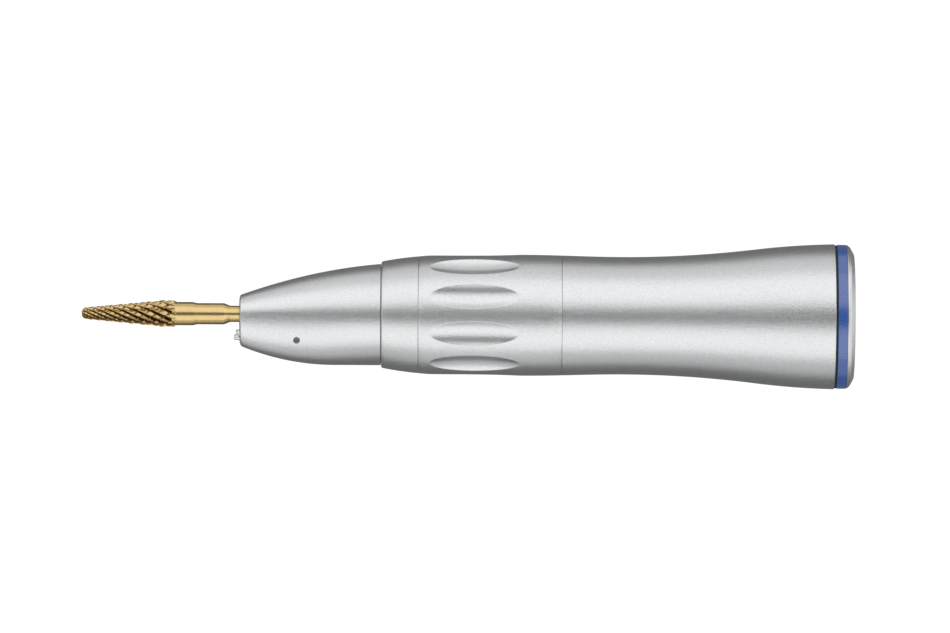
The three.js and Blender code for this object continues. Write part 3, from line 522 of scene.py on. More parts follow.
def blend(x, start, end):
    """A smooth curve from one station to the next, each with its place, radius and slope."""
    span = end[0] - start[0]
    t = (x - start[0]) / span
    rise = t * t * (3 - 2 * t)
    bend = t * (1 - t) * (1 - t) * start[2] - t * t * (1 - t) * end[2]
    return start[1] * (1 - rise) + end[1] * rise + span * bend


def nose_root():
    """Radius of the nose where it meets the collar."""
    return radius("nose_cone")


def casing_radius(x):
    """Outer radius of the collar, the grip ring and the body."""
    sizes = bpy.context.scene.handpiece_casing
    body_front, body_rear = front("rear_body"), rear("rear_body")
    end = radius("rear_body")
    # Each station has its place, radius and slope.
    stations = [
        (front("front_collar"), nose_root() + sizes.collar_step, 0.2),
        (body_front - 5 * MM, radius("grip_ring"), 0),
        (body_front + sizes.waist_setback, radius("grip_ring") - sizes.waist_dip, 0),
        (body_rear - sizes.shoulder_setback, end - sizes.shoulder_drop, 0.122),
        (body_rear, end, 0.02),
    ]
    last = len(stations) - 2
    i = next((k for k in range(last) if x <= stations[k + 1][0]), last)
    return blend(x, stations[i], stations[i + 1])


def nose_rise(x):
    """Height of the nose above the axis."""
    sizes = bpy.context.scene.handpiece_casing
    tip = (front("nose_cone"), sizes.nose_tip_rise, 0.36)
    return blend(x, tip, (front("front_collar"), nose_root(), 0.08))


def nose_drop(x):
    """Depth of the nose below the axis."""
    sizes = bpy.context.scene.handpiece_casing
    tip = (front("nose_cone"), sizes.nose_tip_drop, 0.41)
    belly = (front("nose_cone") + sizes.nose_belly, nose_root(), 0)
    return blend(x, tip, belly) if x < belly[0] else nose_root()


# Nose and spray nozzle

SEAM_GAP = 0.02 * MM  # at each end of the turning grip ring
APERTURE = 2.19 * MM  # radius of the hole in the nose face
UNDERSIDE_EDGE = 1.3  # how much more the edge of the nose face is rounded at its lowest point
SKIN_SHARE = 0.85  # points further out than this share of the nose's radius belong to its skin
UPPER_OUTLET = {"radius": 0.33 * MM, "wall": 0.03 * MM, "drop": 2.59 * MM, "reach": 0.5 * MM}
LOWER_OUTLET = {"radius": 0.38 * MM, "wall": 0.1 * MM, "drop": 3.35 * MM, "reach": 0.75 * MM}


def nozzle_plug(start, end, gap):
    """The nozzle's body: the shape that wraps both outlets, drawn out along X."""
    upper, lower = (outlet["radius"] + outlet["wall"] + gap for outlet in (UPPER_OUTLET, LOWER_OUTLET))
    lean = math.asin((lower - upper) / (LOWER_OUTLET["drop"] - UPPER_OUTLET["drop"]))
    steps = 16
    section = []
    for i in range(steps + 1):
        angle = lean + (math.pi - 2 * lean) * i / steps
        section.append((upper * math.cos(angle), upper * math.sin(angle) - UPPER_OUTLET["drop"]))
    for i in range(steps + 1):
        angle = math.pi - lean + (math.pi + 2 * lean) * i / steps
        section.append((lower * math.cos(angle), lower * math.sin(angle) - LOWER_OUTLET["drop"]))
    core = -(UPPER_OUTLET["drop"] + LOWER_OUTLET["drop"]) / 2
    return prism(section, start, end, core)


def nozzle_foot(gap):
    """The wide foot of the nozzle, which meets both spray lines. Its lower corners clear the nose's skin."""
    high = node_boxes["spray_nozzle"][1]
    start, end = high.x - 0.7 * MM - gap, high.x + gap
    wide, top, bottom, edge = high.y + gap, -3.1 * MM + gap, -5 * MM - gap, 0.9 * MM
    corners = [(-wide, bottom, edge), (-wide, top, 0), (wide, top, 0), (wide, bottom, edge)]
    return prism(rounded(corners), start, end, (top + bottom) / 2)


class HANDPIECE_OT_nose(Operator):
    """Makes the nose shell: round above, drawn out into a half ellipse below, with its spray port"""
    bl_idname = "handpiece.nose"
    bl_label = "Nose"

    def meridian(self, angle):
        """The points of the shell's outline at one angle round the axis."""
        sizes = bpy.context.scene.handpiece_casing
        start, end = front("nose_cone"), front("front_collar") - FIT
        seat, bore, throat = radius("front_outer_race") + FIT, 5.3 * MM, 3 * MM
        bearing, bearing_rear = front("front_outer_race") - FIT, rear("front_outer_race") + FIT
        retainer, room, recess = rear("bearing_retainer"), seat + 0.2 * MM, bore + 0.45 * MM
        below = max(0.0, -math.sin(angle))
        edge = sizes.nose_edge * (1 + UNDERSIDE_EDGE * below ** 2)
        corners = [
            (start, APERTURE, 0.06 * MM),
            (start + sizes.nose_crown, nose_rise(start + sizes.nose_crown), edge),
            *curve(start + 1 * MM, end - 0.3 * MM, 40, nose_rise),
            (end, nose_rise(end), 0.08 * MM),
            (end, recess, 0),
            (rear("nose_cone"), recess, EDGE),
            (rear("nose_cone"), bore, 0),
            (retainer + 1 * MM, bore, 0),
            (retainer, room, 0),
            (bearing_rear, room, 0),
            (bearing_rear, seat, 0),
            (bearing, seat, 0),
            (bearing, throat, 0),
            (start + 4.6 * MM, throat, 0),
            (start + 3.4 * MM, APERTURE, 0),
        ]
        points = []
        for x, r in rounded(corners):
            y, z = r * math.cos(angle), r * math.sin(angle)
            if z < 0 and x <= end and r > SKIN_SHARE * nose_rise(x):
                z *= nose_drop(x) / nose_rise(x)
            points.append((x, y, z))
        return points

    def execute(self, context):
        turns = 160
        shell = solid("nose_shell", loft([self.meridian(2 * math.pi * i / turns) for i in range(turns)]))
        start, plug_rear = front("nose_cone"), rear("spray_nozzle")
        port_x, port_z, port_radius = start + 8.3 * MM, -3.82 * MM, 0.44 * MM
        flank = nose_rise(port_x) * math.sqrt(1 - (port_z / nose_drop(port_x)) ** 2)
        # The blind port: how far out from the skin in millimetres, and the share of its radius
        hole = [(-1, 0), (-1, 1.7), (0.04, 1.04), (0.14, 1), (1.3, 1), (1.3, 0)]
        port = turned([(x * MM, r * port_radius) for x, r in hole], 48)
        port = [[(port_x + y, x - flank, port_z + z) for x, y, z in strip] for strip in port]
        passages = [
            bar(plug_rear - 0.2 * MM, rear("bearing_retainer") + 1 * MM, 0.52 * MM, 24,
                (middle(node).y, middle(node).z))
            for node in ("water_tube", "air_tube")
        ]
        carve(shell, nozzle_plug(start - 1 * MM, plug_rear + FIT, FIT), nozzle_foot(FIT), loft(port, False),
              *passages)
        dress(shell, "housing", finish_of("blasted"), "satin_steel", "nose_cone")
        return {"FINISHED"}


class HANDPIECE_OT_nozzle(Operator):
    """Makes the spray nozzle: a polished plug with a water outlet above an air outlet"""
    bl_idname = "handpiece.nozzle"
    bl_label = "Spray nozzle"

    def execute(self, context):
        start, end = front("nose_cone"), rear("spray_nozzle")
        plug = nozzle_plug(start - 0.1 * MM, end - 0.5 * MM, 0)
        pieces = [solid("spray_plug", plug), solid("spray_foot", nozzle_foot(0))]
        inlet = start + 0.4 * MM
        for name, outlet in (("spray_outlet_upper", UPPER_OUTLET), ("spray_outlet_lower", LOWER_OUTLET)):
            tip, size = start - outlet["reach"], outlet["radius"]
            corners = [(tip, size, EDGE), (inlet, size, 0), (inlet, size / 2, 0), (tip, size / 2, EDGE / 2)]
            pieces.append(lathe(name, corners, 48, (0, -outlet["drop"])))
        for piece in pieces:
            dress(piece, "housing", finish_of("polished"), "polished_steel", "spray_nozzle")
        return {"FINISHED"}


# Collar and grip ring

class HANDPIECE_OT_collar(Operator):
    """Makes the front collar, with a rounded front edge that stands proud of the nose"""
    bl_idname = "handpiece.collar"
    bl_label = "Front collar"

    def execute(self, context):
        sizes = context.scene.handpiece_casing
        start, end = front("front_collar"), front("grip_ring") - SEAM_GAP
        bore = radius("frame_tube") + FIT
        collar = lathe("collar_shell", [
            (start, bore, 0),
            (start, casing_radius(start), sizes.collar_edge),
            *curve(start + 0.8 * MM, end - 0.2 * MM, 16, casing_radius),
            (end, casing_radius(end), sizes.seam_edge),
            (end, bore, 0),
        ])
        dress(collar, "housing", finish_of("blasted"), "satin_steel", "front_collar")
        return {"FINISHED"}


# Where the mesh has its points: shares of the way from a hollow's middle to its rim, and on to the border
INSIDE_HOLLOW = (0, 0.12, 0.25, 0.38, 0.5, 0.62, 0.73, 0.83, 0.91, 0.97)
OUTSIDE_HOLLOW = (0.04, 0.15, 0.35, 0.65, 1)


class HANDPIECE_OT_grip(Operator):
    """Makes the grip ring, where each finger hollow is a scoop ground with a large wheel"""
    bl_idname = "handpiece.grip"
    bl_label = "Grip ring"

    def scoop(self, x, angle):
        """How far the scoop's surface lies above the crest of the ring: below zero inside the hollow."""
        sizes = bpy.context.scene.handpiece_grip
        flute_x = front("grip_ring") + sizes.flute_setback
        taper = 1 - ((sizes.hollow_radius - sizes.flute_depth) / sizes.hollow_radius) ** 2
        half_span = sizes.flute_length / 2 / math.sqrt(taper)
        wheel = sizes.hollow_radius * math.sqrt(max(0.0, 1 - ((x - flute_x) / half_span) ** 2))
        away = casing_radius(flute_x) - sizes.flute_depth + sizes.hollow_radius
        side = away * math.sin(angle)
        return away * math.cos(angle) - math.sqrt(max(0.0, wheel ** 2 - side ** 2)) - casing_radius(x)

    def surface(self, x, angle):
        """Radius of the ring's skin near one flute, with the rim of the hollow softened."""
        edge = bpy.context.scene.handpiece_grip.rim_edge
        gap = self.scoop(x, angle)
        soft = max(0.0, edge - abs(gap)) ** 2 / (4 * edge)
        return casing_radius(x) + min(0.0, gap) - soft

    def share_at(self, level, x0, dx, turn):
        """Where the scoop reaches a level, as a share of the way from the flute's middle to the border."""
        low, high = 0.0, 1.0
        for _ in range(30):
            share = (low + high) / 2
            if self.scoop(x0 + dx * share, turn * share) < level:
                low = share
            else:
                high = share
        return low

    def flute(self, middle_angle, border, x0):
        """Strips of points from the middle of one flute, over its rim, to the border of its part."""
        edge = bpy.context.scene.handpiece_grip.rim_edge
        strips = []
        for x, turn in border:
            dx = x - x0
            rim = [self.share_at(edge * k, x0, dx, turn) for k in (-1, -0.5, 0, 0.5, 1)]
            shares = [rim[0] * k for k in INSIDE_HOLLOW] + rim
            shares += [rim[-1] + (1 - rim[-1]) * k for k in OUTSIDE_HOLLOW]
            strip = []
            for share in shares:
                at, angle = x0 + dx * share, turn * share
                r = self.surface(at, angle)
                strip.append((at, r * math.cos(middle_angle + angle), r * math.sin(middle_angle + angle)))
            strips.append(strip)
        return strips

    def execute(self, context):
        sizes = context.scene.handpiece_grip
        seam = context.scene.handpiece_casing.seam_edge
        start, end, bore = front("grip_ring"), rear("grip_ring"), radius("cam_sleeve") + FIT
        half = math.pi / sizes.flutes
        ends, sides = 12, 56
        skin_start, skin_end = start + seam, end - seam
        across = [-half + 2 * half * i / ends for i in range(ends)]
        along = [skin_start + (skin_end - skin_start) * i / sides for i in range(sides)]
        border = (
            [(skin_end, turn) for turn in across]
            + [(skin_end + skin_start - x, half) for x in along]
            + [(skin_start, -turn) for turn in across]
            + [(x, -half) for x in along]
        )
        mesh = bmesh.new()
        for i in range(sizes.flutes):
            flute_angle = math.pi / 2 + 2 * half * i
            loft(self.flute(flute_angle, border, start + sizes.flute_setback), False, mesh)
        # Each end is rounded over one point, 0.3 of the rounding inside the skin and the end face.
        bend = seam * 0.3
        edges = [
            (skin_start, casing_radius(skin_start)),
            (start + bend, casing_radius(start) - bend),
            (start, casing_radius(start) - seam),
            (start, bore),
            (end, bore),
            (end, casing_radius(end) - seam),
            (end - bend, casing_radius(end) - bend),
            (skin_end, casing_radius(skin_end)),
        ]
        loft(turned(edges, sizes.flutes * ends, start=math.pi / 2 - half), False, mesh)
        grip = solid("grip_shell", mesh)
        dress(grip, "grip", finish_of("blasted"), "satin_steel", "grip_ring", crease=40)
        return {"FINISHED"}


# Body and rear rings

SOCKET_STEP = 10 * MM  # depth of the step in the motor socket


class HANDPIECE_OT_body(Operator):
    """Makes the rear body, slim at the waist and flared to the motor end"""
    bl_idname = "handpiece.body"
    bl_label = "Body"

    def execute(self, context):
        sizes = context.scene.handpiece_casing
        start, end = rear("grip_ring") + SEAM_GAP, rear("rear_body")
        sleeve, hub_front = radius("coupling_sleeve") + FIT, front("end_ring") - FIT
        thread, narrow, step = sleeve + 0.7 * MM, sleeve - 1 * MM, rear("coupling_sleeve") - SOCKET_STEP - FIT
        lip, neck = radius("frame_tube") + FIT, radius("frame_tube") + 0.9 * MM
        floor = front("socket_plate") - 1 * MM
        body = lathe("body_shell", [
            (start, lip, 0),
            (start, casing_radius(start), sizes.seam_edge),
            *curve(start + 0.3 * MM, end - 0.3 * MM, 64, casing_radius),
            (end, casing_radius(end), EDGE),
            (end, thread, 0),
            (hub_front, thread, 0),
            (hub_front, sleeve, 0),
            (step, sleeve, 0),
            (step, narrow, 0),
            (floor, narrow, 0),
            (floor, neck, 0),
            (start + 2 * MM, neck, 0),
            (start + 2 * MM, lip, 0),
        ])
        dress(body, "housing", finish_of("blasted"), "satin_steel", "rear_body")
        return {"FINISHED"}


class HANDPIECE_OT_rear_rings(Operator):
    """Makes the seal, the blue mark ring and the blasted end ring"""
    bl_idname = "handpiece.rear_rings"
    bl_label = "Rear rings"

    def execute(self, context):
        sizes = context.scene.handpiece_casing
        thread = radius("coupling_sleeve") + 0.75 * MM
        for name, node, edge, finish, slot in (
            ("seal_band", "rear_seal", EDGE / 2, "rubber", "black_rubber"),
            ("mark_band", "mark_ring", 1.2 * EDGE, "blue", "blue_anodised"),
        ):
            start, end, rim = front(node), rear(node), radius(node)
            corners = [(start, thread, 0), (start, rim, edge), (end, rim, edge), (end, thread, 0)]
            dress(lathe(name, corners), "housing", finish_of(finish), slot, node)
        hub_front, face, end, rim = front("end_ring"), rear("mark_ring"), rear("end_ring"), radius("end_ring")
        sleeve, bore = radius("coupling_sleeve") + FIT, radius("coupling_sleeve") - 0.75 * MM
        chamfer = 0.5 * MM
        end_cap = lathe("end_cap", [
            (hub_front, sleeve, 0),
            (hub_front, thread - FIT, EDGE),
            (face, thread - FIT, 0),
            (face, rim, EDGE),
            ((face + end) / 2, rim - sizes.end_slope, sizes.end_edge),
            (end, rim - sizes.end_drop, sizes.end_edge / 2),
            (end, bore + chamfer, EDGE),
            (end - chamfer, bore, EDGE),
            (face, bore, 0),
            (face, sleeve, 0),
        ], steps=10)
        dress(end_cap, "housing", finish_of("blasted"), "satin_steel", "end_ring", crease=35)
        return {"FINISHED"}


# Motor socket

class HANDPIECE_OT_socket(Operator):
    """Makes the polished socket liner, its floor plate and the two rubber line ferrules"""
    bl_idname = "handpiece.socket"
    bl_label = "Motor socket"

    def execute(self, context):
        outer = radius("coupling_sleeve")
        mouth, deep = outer - 0.8 * MM, outer - 1.8 * MM
        start, end, floor = front("coupling_sleeve"), rear("coupling_sleeve"), front("socket_plate")
        neck, wall, step = radius("frame_tube") + FIT, 0.8 * MM, -SOCKET_STEP
        groove_front, groove_rear, groove = -6 * MM, -5 * MM, mouth + 0.3 * MM
        liner = lathe("socket_liner", [
            (start, neck, 0),
            (start, neck + wall, 1.5 * EDGE),
            (floor - wall, neck + wall, 0),
            (floor - wall, deep + wall, EDGE),
            (step - wall, deep + wall, 0),
            (step - wall, outer, EDGE),
            (end, outer, 0),
            (end, mouth, 2 * EDGE),
            (groove_rear, mouth, 0.8 * EDGE),
            (groove_rear, groove, 0),
            (groove_front, groove, 0),
            (groove_front, mouth, 0.8 * EDGE),
            (step, mouth, 0),
            (step, deep, 2 * EDGE),
            (floor - FIT, deep, 0),
            (floor - FIT, neck, 0),
        ])
        dress(liner, "housing", finish_of("polished"), "polished_steel", "coupling_sleeve")

        top, rim, hole = rear("socket_plate"), radius("socket_plate"), radius("drive_dog") + 0.2 * MM
        corners = [(floor, hole, 0), (floor, rim, 0), (top, rim, 1.5 * EDGE), (top, hole, 2.5 * EDGE)]
        plate = lathe("socket_floor", corners)
        lines = [(middle(node).y, middle(node).z) for node in ("water_ferrule", "air_ferrule")]
        carve(plate, *(bar(floor - 1 * MM, top + 1 * MM, 0.92 * MM, 48, line) for line in lines))
        dress(plate, "housing", finish_of("brass"), "machined_brass", "socket_plate")

        for name, node in (("water_port", "water_ferrule"), ("air_port", "air_ferrule")):
            low, high = node_boxes[node]
            size = (high.y - low.y) / 2
            bore, lip = size - 0.35 * MM, 1.2 * EDGE
            corners = [(low.x, bore, 0), (low.x, size, 0), (high.x, size, lip), (high.x, bore, lip)]
            port = lathe(name, corners, 48, (middle(node).y, middle(node).z))
            dress(port, "housing", finish_of("rubber"), "black_rubber", node)
        return {"FINISHED"}


class HANDPIECE_OT_drive(Operator):
    """Makes the slotted drive dog and the rear shaft that it is pinned to"""
    bl_idname = "handpiece.drive"
    bl_label = "Drive dog and shaft"

    def execute(self, context):
        start, end, rim = front("drive_dog"), rear("drive_dog"), radius("drive_dog")
        shaft_rear, journal = rear("rear_shaft"), radius("front_inner_race") - 0.58 * MM
        pin_x, pin_hole, slot = middle("dog_pin").x, 0.55 * MM, 0.9 * MM
        bore = journal + FIT
        corners = [(start, bore, 0), (start, rim, 2 * EDGE), (end, rim, 3.5 * EDGE), (end, bore, 3 * EDGE)]
        dog = lathe("dog_body", corners, 96)
        carve(dog, block((shaft_rear, -2 * rim, -slot), (end + 1 * MM, 2 * rim, slot)),
              cross_bar(pin_x, 2 * rim, pin_hole))
        dress(dog, "spindle", finish_of("ground"), "hardened_steel", "drive_dog")

        shoulder = front("rear_inner_race") - FIT
        thick, screw, joint = radius("rear_shaft"), radius("drawbar") + 0.04 * MM, rear("spindle") + FIT
        shaft = lathe("rear_shaft_body", [
            (front("rear_shaft"), 0, 0),
            (front("rear_shaft"), screw, 1.5 * EDGE),
            (joint, screw, 0),
            (joint, thick, EDGE),
            (shoulder, thick, 1.5 * EDGE),
            (shoulder, journal, 0),
            (shaft_rear, journal, 2 * EDGE),
            (shaft_rear, 0, 0),
        ], 96, ring=False)
        carve(shaft, cross_bar(pin_x, rim, pin_hole))
        dress(shaft, "spindle", finish_of("ground"), "hardened_steel", "rear_shaft")
        return {"FINISHED"}


# Chuck, spindle and bearings

class HANDPIECE_OT_chuck(Operator):
    """Makes the slit collet, the spindle round it and the spring that closes the chuck"""
    bl_idname = "handpiece.chuck"
    bl_label = "Chuck"

    def execute(self, context):
        start, end, hub = front("collet"), rear("collet"), 0.9 * MM
        bore, size, lead = 1.2 * MM, 1.6 * MM, 1.2 * MM
        floor = rear("bur_shank") + FIT
        web = floor + 0.75 * MM
        collet = lathe("collet_body", [
            (start, bore, 0.6 * EDGE),
            (start, size + 0.12 * MM, EDGE / 2),
            (start + lead, size, 0),
            (end, size, EDGE),
            (end, hub, 0),
            (web, hub, 0),
            (web, 0, 0),
            (floor, 0, 0),
            (floor, bore, 0),
        ], 96)
        slits, half = [], 0.15 * MM
        for i in range(3):
            slit = block((start - 1 * MM, 0, -half), (rear("front_outer_race") + 4 * MM, 3 * MM, half))
            slit.transform(Matrix.Rotation(2 * math.pi * i / 3, 4, "X"))
            slits.append(slit)
        carve(collet, *slits)
        dress(collet, "chuck", finish_of("ground"), "hardened_steel", "collet")

        start, end, thick = front("spindle"), rear("spindle"), radius("spindle")
        bore, tip, room = size + FIT, size + 0.37 * MM, 2.2 * MM
        shoulder, spring_front = rear("front_outer_race") + FIT, rear("collet") + 1.1 * MM
        spindle = lathe("spindle_body", [
            (start, bore + 0.12 * MM, 0.4 * EDGE),
            (start, tip, EDGE),
            (shoulder, tip, 0),
            (shoulder, thick, 1.5 * EDGE),
            (end, thick, EDGE),
            (end, room, 0),
            (spring_front, room, 0),
            (spring_front, bore, 0),
            (start + lead, bore, 0),
        ], 96)
        low, high = node_boxes["release_ring"]
        pin, half = middle("cross_pin").x, 0.72 * MM
        carve(spindle, block((pin - half - 0.8 * MM, -half, 2 * low.z), (pin + half, half, 2 * high.z)))
        dress(spindle, "spindle", finish_of("ground"), "hardened_steel", "spindle")

        wire, coils, steps = 0.25 * MM, 7, 7 * 36
        coil = (radius("drawbar") + 1.25 * MM) / 2
        first, last = spring_front + wire, self.collar_front() - wire - 0.02 * MM
        strips = []
        for i in range(steps + 1):
            share = i / steps
            # The end coils are wound close, so that they lie flat against what they press on.
            x = first + (last - first) * (share - 0.09 * math.sin(2 * math.pi * share))
            turn = 2 * math.pi * coils * share
            strips.append([
                (x + wire * math.sin(k), (coil + wire * math.cos(k)) * math.cos(turn),
                 (coil + wire * math.cos(k)) * math.sin(turn))
                for k in [2 * math.pi * j / 12 for j in range(12)]
            ])
        spring = solid("spring_coil", loft(strips, closed=False))
        dress(spring, "spindle", finish_of("polished"), "polished_steel", "chuck_spring")
        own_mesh(spring)
        return {"FINISHED"}

    def collar_front(self):
        """Where the collar of the drawbar starts: the first place where the drawbar is at its thickest."""
        thickest = radius("drawbar") - 0.01 * MM
        return min(v.co.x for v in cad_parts["drawbar"].data.vertices if v.co.yz.length > thickest)


class HANDPIECE_OT_bearings(Operator):
    """Makes the balls and the machined cage of each bearing"""
    bl_idname = "handpiece.bearings"
    bl_label = "Ball bearings"

    def execute(self, context):
        balls = 8
        for place in ("front", "rear"):
            node, body = f"{place}_ball_set", f"{place}_cage"
            centre = middle(node).x
            inner, outer = radius(f"{place}_inner_race"), radius(f"{place}_outer_race")
            circle, size = (inner + outer - 0.55 * MM) / 2, 0.48 * MM
            set_mesh, pockets = bmesh.new(), []
            for i in range(balls):
                turn = 2 * math.pi * i / balls
                seat = Vector((centre, circle * math.cos(turn), circle * math.sin(turn)))
                made = bmesh.ops.create_uvsphere(set_mesh, u_segments=24, v_segments=16, radius=size)
                bmesh.ops.translate(set_mesh, verts=made["verts"], vec=seat)
                pocket = bmesh.new()
                bmesh.ops.create_uvsphere(pocket, u_segments=24, v_segments=16, radius=size + 0.03 * MM)
                bmesh.ops.translate(pocket, verts=pocket.verts, vec=seat)
                pockets.append(pocket)
            dress(solid(f"{place}_balls", set_mesh), body, finish_of("polished"), "polished_steel", node)
            start, end, wall, edge = centre - size * 1.3, centre + size * 1.3, 0.2 * MM, 0.4 * EDGE
            inside, outside = circle - wall, circle + wall
            corners = [
                (start, inside, edge), (start, outside, edge), (end, outside, edge), (end, inside, edge),
            ]
            cage = carve(lathe(f"{place}_cage_ring", corners, 96, steps=3), *pockets)
            dress(cage, body, finish_of("phenolic"), "cage_polymer", node)
        return {"FINISHED"}


class HANDPIECE_OT_orings(Operator):
    """Makes the two O-rings that the grip ring turns on"""
    bl_idname = "handpiece.orings"
    bl_label = "O-rings"

    def execute(self, context):
        for name, node in (("front_grip_seal", "front_oring"), ("rear_grip_seal", "rear_oring")):
            low, high = node_boxes[node]
            wire = (high.x - low.x) / 2
            centre, seat = (low.x + high.x) / 2, high.y - wire * math.cos(math.radians(30))
            section = [2 * math.pi * i / 20 for i in range(20)]
            squeezed = 0.86 * wire
            corners = [(centre + wire * math.cos(a), seat + squeezed * math.sin(a), 0) for a in section]
            dress(lathe(name, corners, 96), "housing", finish_of("rubber"), "black_rubber", node)
        return {"FINISHED"}


# Cutter

# Shape of a tooth, in shares of the way to the next tooth: the land falls slowly, then drops into the gullet,
# which rises steeply to the next cutting edge. Depths are shares of the head's radius.
LAND, GULLET_SLOPE, FACE = 0.5, 0.28, 0.05
LAND_FALL, DEEPEST = 0.3, 0.3
CROSS_CUT_HALF, CROSS_CUT_DEPTH = 0.17, 0.17
TOOTH_POINTS = (0, 0.1, 0.22, 0.34, 0.46, 0.56, 0.64, 0.72, 0.8, 0.88, 0.949, 0.97)


def within(value):
    """A number kept between 0 and 1."""
    return min(1.0, max(0.0, value))


class HANDPIECE_OT_cutter(Operator):
    """Makes the cutter: a tapered head with helical teeth and cross cuts, its neck and its shank"""
    bl_idname = "handpiece.cutter"
    bl_label = "Cutter"

    def envelope(self, x):
        """Radius over the tips of the teeth."""
        sizes = bpy.context.scene.handpiece_cutter
        tip_rear, widest_end = front("bur_head") + sizes.tip_edge, rear("bur_head")
        widest = radius("bur_head")
        if x < tip_rear:
            round_tip = math.sqrt(max(0.0, sizes.tip_edge ** 2 - (tip_rear - x) ** 2))
            return sizes.tip_radius - sizes.tip_edge + round_tip
        flat = widest_end - 0.5 * MM
        if x < flat:
            return sizes.tip_radius + (widest - sizes.tip_radius) * (x - tip_rear) / (flat - tip_rear)
        return widest + (sizes.collar_radius - widest) * within((x - widest_end) / sizes.bevel) ** 1.5

    def gullet(self, x, across, along):
        """Depth of the surface below the envelope. Across and along count teeth and cross cuts."""
        tooth, breaker = across % 1, along % 1
        fall = within((tooth - LAND) / GULLET_SLOPE)
        drop = LAND_FALL * within(tooth / LAND) + (1 - LAND_FALL) * fall * fall * (3 - 2 * fall)
        flank = drop * within((1 - tooth) / FACE)
        notch = within(1 - abs(breaker - 0.5) / CROSS_CUT_HALF)
        depth = max(flank * DEEPEST, notch ** 0.6 * CROSS_CUT_DEPTH) * self.envelope(x)
        end = rear("bur_head") + bpy.context.scene.handpiece_cutter.bevel
        return depth * within((end - x) / (0.6 * MM)) * within((x - front("bur_head")) / (0.25 * MM))

    def execute(self, context):
        sizes = context.scene.handpiece_cutter
        tip, end = front("bur_head"), rear("bur_head") + sizes.bevel
        rows, tip_rows = 230, 12
        around = [(i + share) / sizes.teeth for i in range(sizes.teeth) for share in TOOTH_POINTS]
        places = [tip + (end - tip) * i / rows for i in range(rows + 1)]
        turns = [math.pi / 2 * i / tip_rows for i in range(1, tip_rows)]
        places += [tip + sizes.tip_edge * (1 - math.cos(angle)) for angle in turns]
        places.sort()
        twist, turn = [0.0], 0.0
        for x, following in zip(places, places[1:]):
            turn += (following - x) / self.envelope((x + following) / 2)
            twist.append(turn)
        strips = []
        for share in around:
            strip = [(tip, 0, 0)]
            for x, wound in zip(places, twist):
                angle = 2 * math.pi * share + wound * math.tan(sizes.tooth_helix)
                crossing = sizes.cross_cuts * (angle + wound * math.tan(sizes.cross_helix)) / (2 * math.pi)
                r = self.envelope(x) - self.gullet(x, share * sizes.teeth, crossing)
                strip.append((x, r * math.cos(angle), r * math.sin(angle)))
            strips.append(strip + [(end, 0, 0)])
        head = solid("cutter_head", loft(strips, False))
        points = [vert.co for vert in head.data.vertices]
        # The depth of each point in the gullets, which is the mask of the painted shade on the gold.
        depths = [max(0.0, 1 - p.yz.length / self.envelope(p.x)) / DEEPEST for p in points]
        head.data.attributes.new(GULLET_SHADE_DEPTH, "FLOAT", "POINT").data.foreach_set("value", depths)
        dress(head, "bur", finish_of("gold"), "gold_cutter", "bur_head", crease=32)

        shank_rear, shank, coat_end = rear("bur_shank"), 1.175 * MM, front("nose_cone") + 2 * MM
        neck, edge = front("bur_shank"), 0.6 * MM
        collar_rear, neck_rear = neck + sizes.collar_length, neck + sizes.neck_length
        coated = lathe("cutter_neck", [
            (neck, 0, 0),
            (neck, sizes.collar_radius, 0),
            (collar_rear, sizes.collar_radius, edge),
            (collar_rear + edge, sizes.neck_radius, edge),
            (neck_rear, sizes.neck_radius, 2 * EDGE),
            (neck_rear + sizes.taper_length, shank, 2 * EDGE),
            (coat_end, shank, 0),
            (coat_end, 0, 0),
        ], 96, ring=False)
        dress(coated, "bur", finish_of("gold"), "gold_cutter", "bur_shank")
        bare = lathe("cutter_shank", [
            (coat_end, 0, 0), (coat_end, shank, 0), (shank_rear, shank, 2.5 * EDGE), (shank_rear, 0, 0),
        ], 96, ring=False)
        dress(bare, "bur", finish_of("ground"), "polished_steel", "bur_shank")
        return {"FINISHED"}


# Carried-over pieces

class HANDPIECE_OT_inner_finishes(Operator):
    """Gives the inner pieces whose frame shape is kept their finish"""
    bl_idname = "handpiece.inner_finishes"
    bl_label = "Inner pieces"

    def execute(self, context):
        kept = {
            "polished": ("water_tube", "air_tube", "front_outer_race", "rear_outer_race", "front_inner_race",
                         "rear_inner_race", "detent_ball", "preload_washer", "guide_pin_1", "guide_pin_2",
                         "dog_pin", "cross_pin"),
            "ground": ("bearing_retainer", "frame_tube", "detent_spring", "cam_sleeve", "slider_sleeve",
                       "bearing_nut", "drawbar"),
            "brass": ("bearing_carrier", "release_ring"),
            "rubber": ("nose_seal",),
        }
        for finish, nodes in kept.items():
            for node in nodes:
                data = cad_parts[node].data
                data.materials.clear()
                data.materials.append(finish_of(finish))
                data.shade_smooth()
                data.set_sharp_from_angle(angle=math.radians(32))
        return {"FINISHED"}


# Stage

# Each softbox: name, rise, half its spread, share of the brightness, heading, and width in metres.
# Angles are in degrees. Rise 0 and heading 0 are at the camera, rise 90 is above, heading 90 at the socket end.
SOFTBOXES = (
    ("upper_front", 44, 29, 1.0, 0, 3.0),
    ("upper_back", 94, 21, 0.58, 0, 3.0),
    ("lower_front", -45, 28, 1.0, 0, 3.0),
    ("lower_back", -92, 16, 0.42, 0, 3.0),
    ("socket_end", 0, 40, 0.7, 90, 1.6),
    ("nose_end", 0, 40, 0.3, -90, 1.6),
)
BACKDROP_RADIUS, BACKDROP_GLOW = 3.2, 1.05
FLOOR_RADIUS, FLOOR_THICKNESS, FLOOR_GLOW = 0.8, 1 * MM, 1.0
FLOOR_DROP = 65 * MM  # below the lowest point of the handpiece


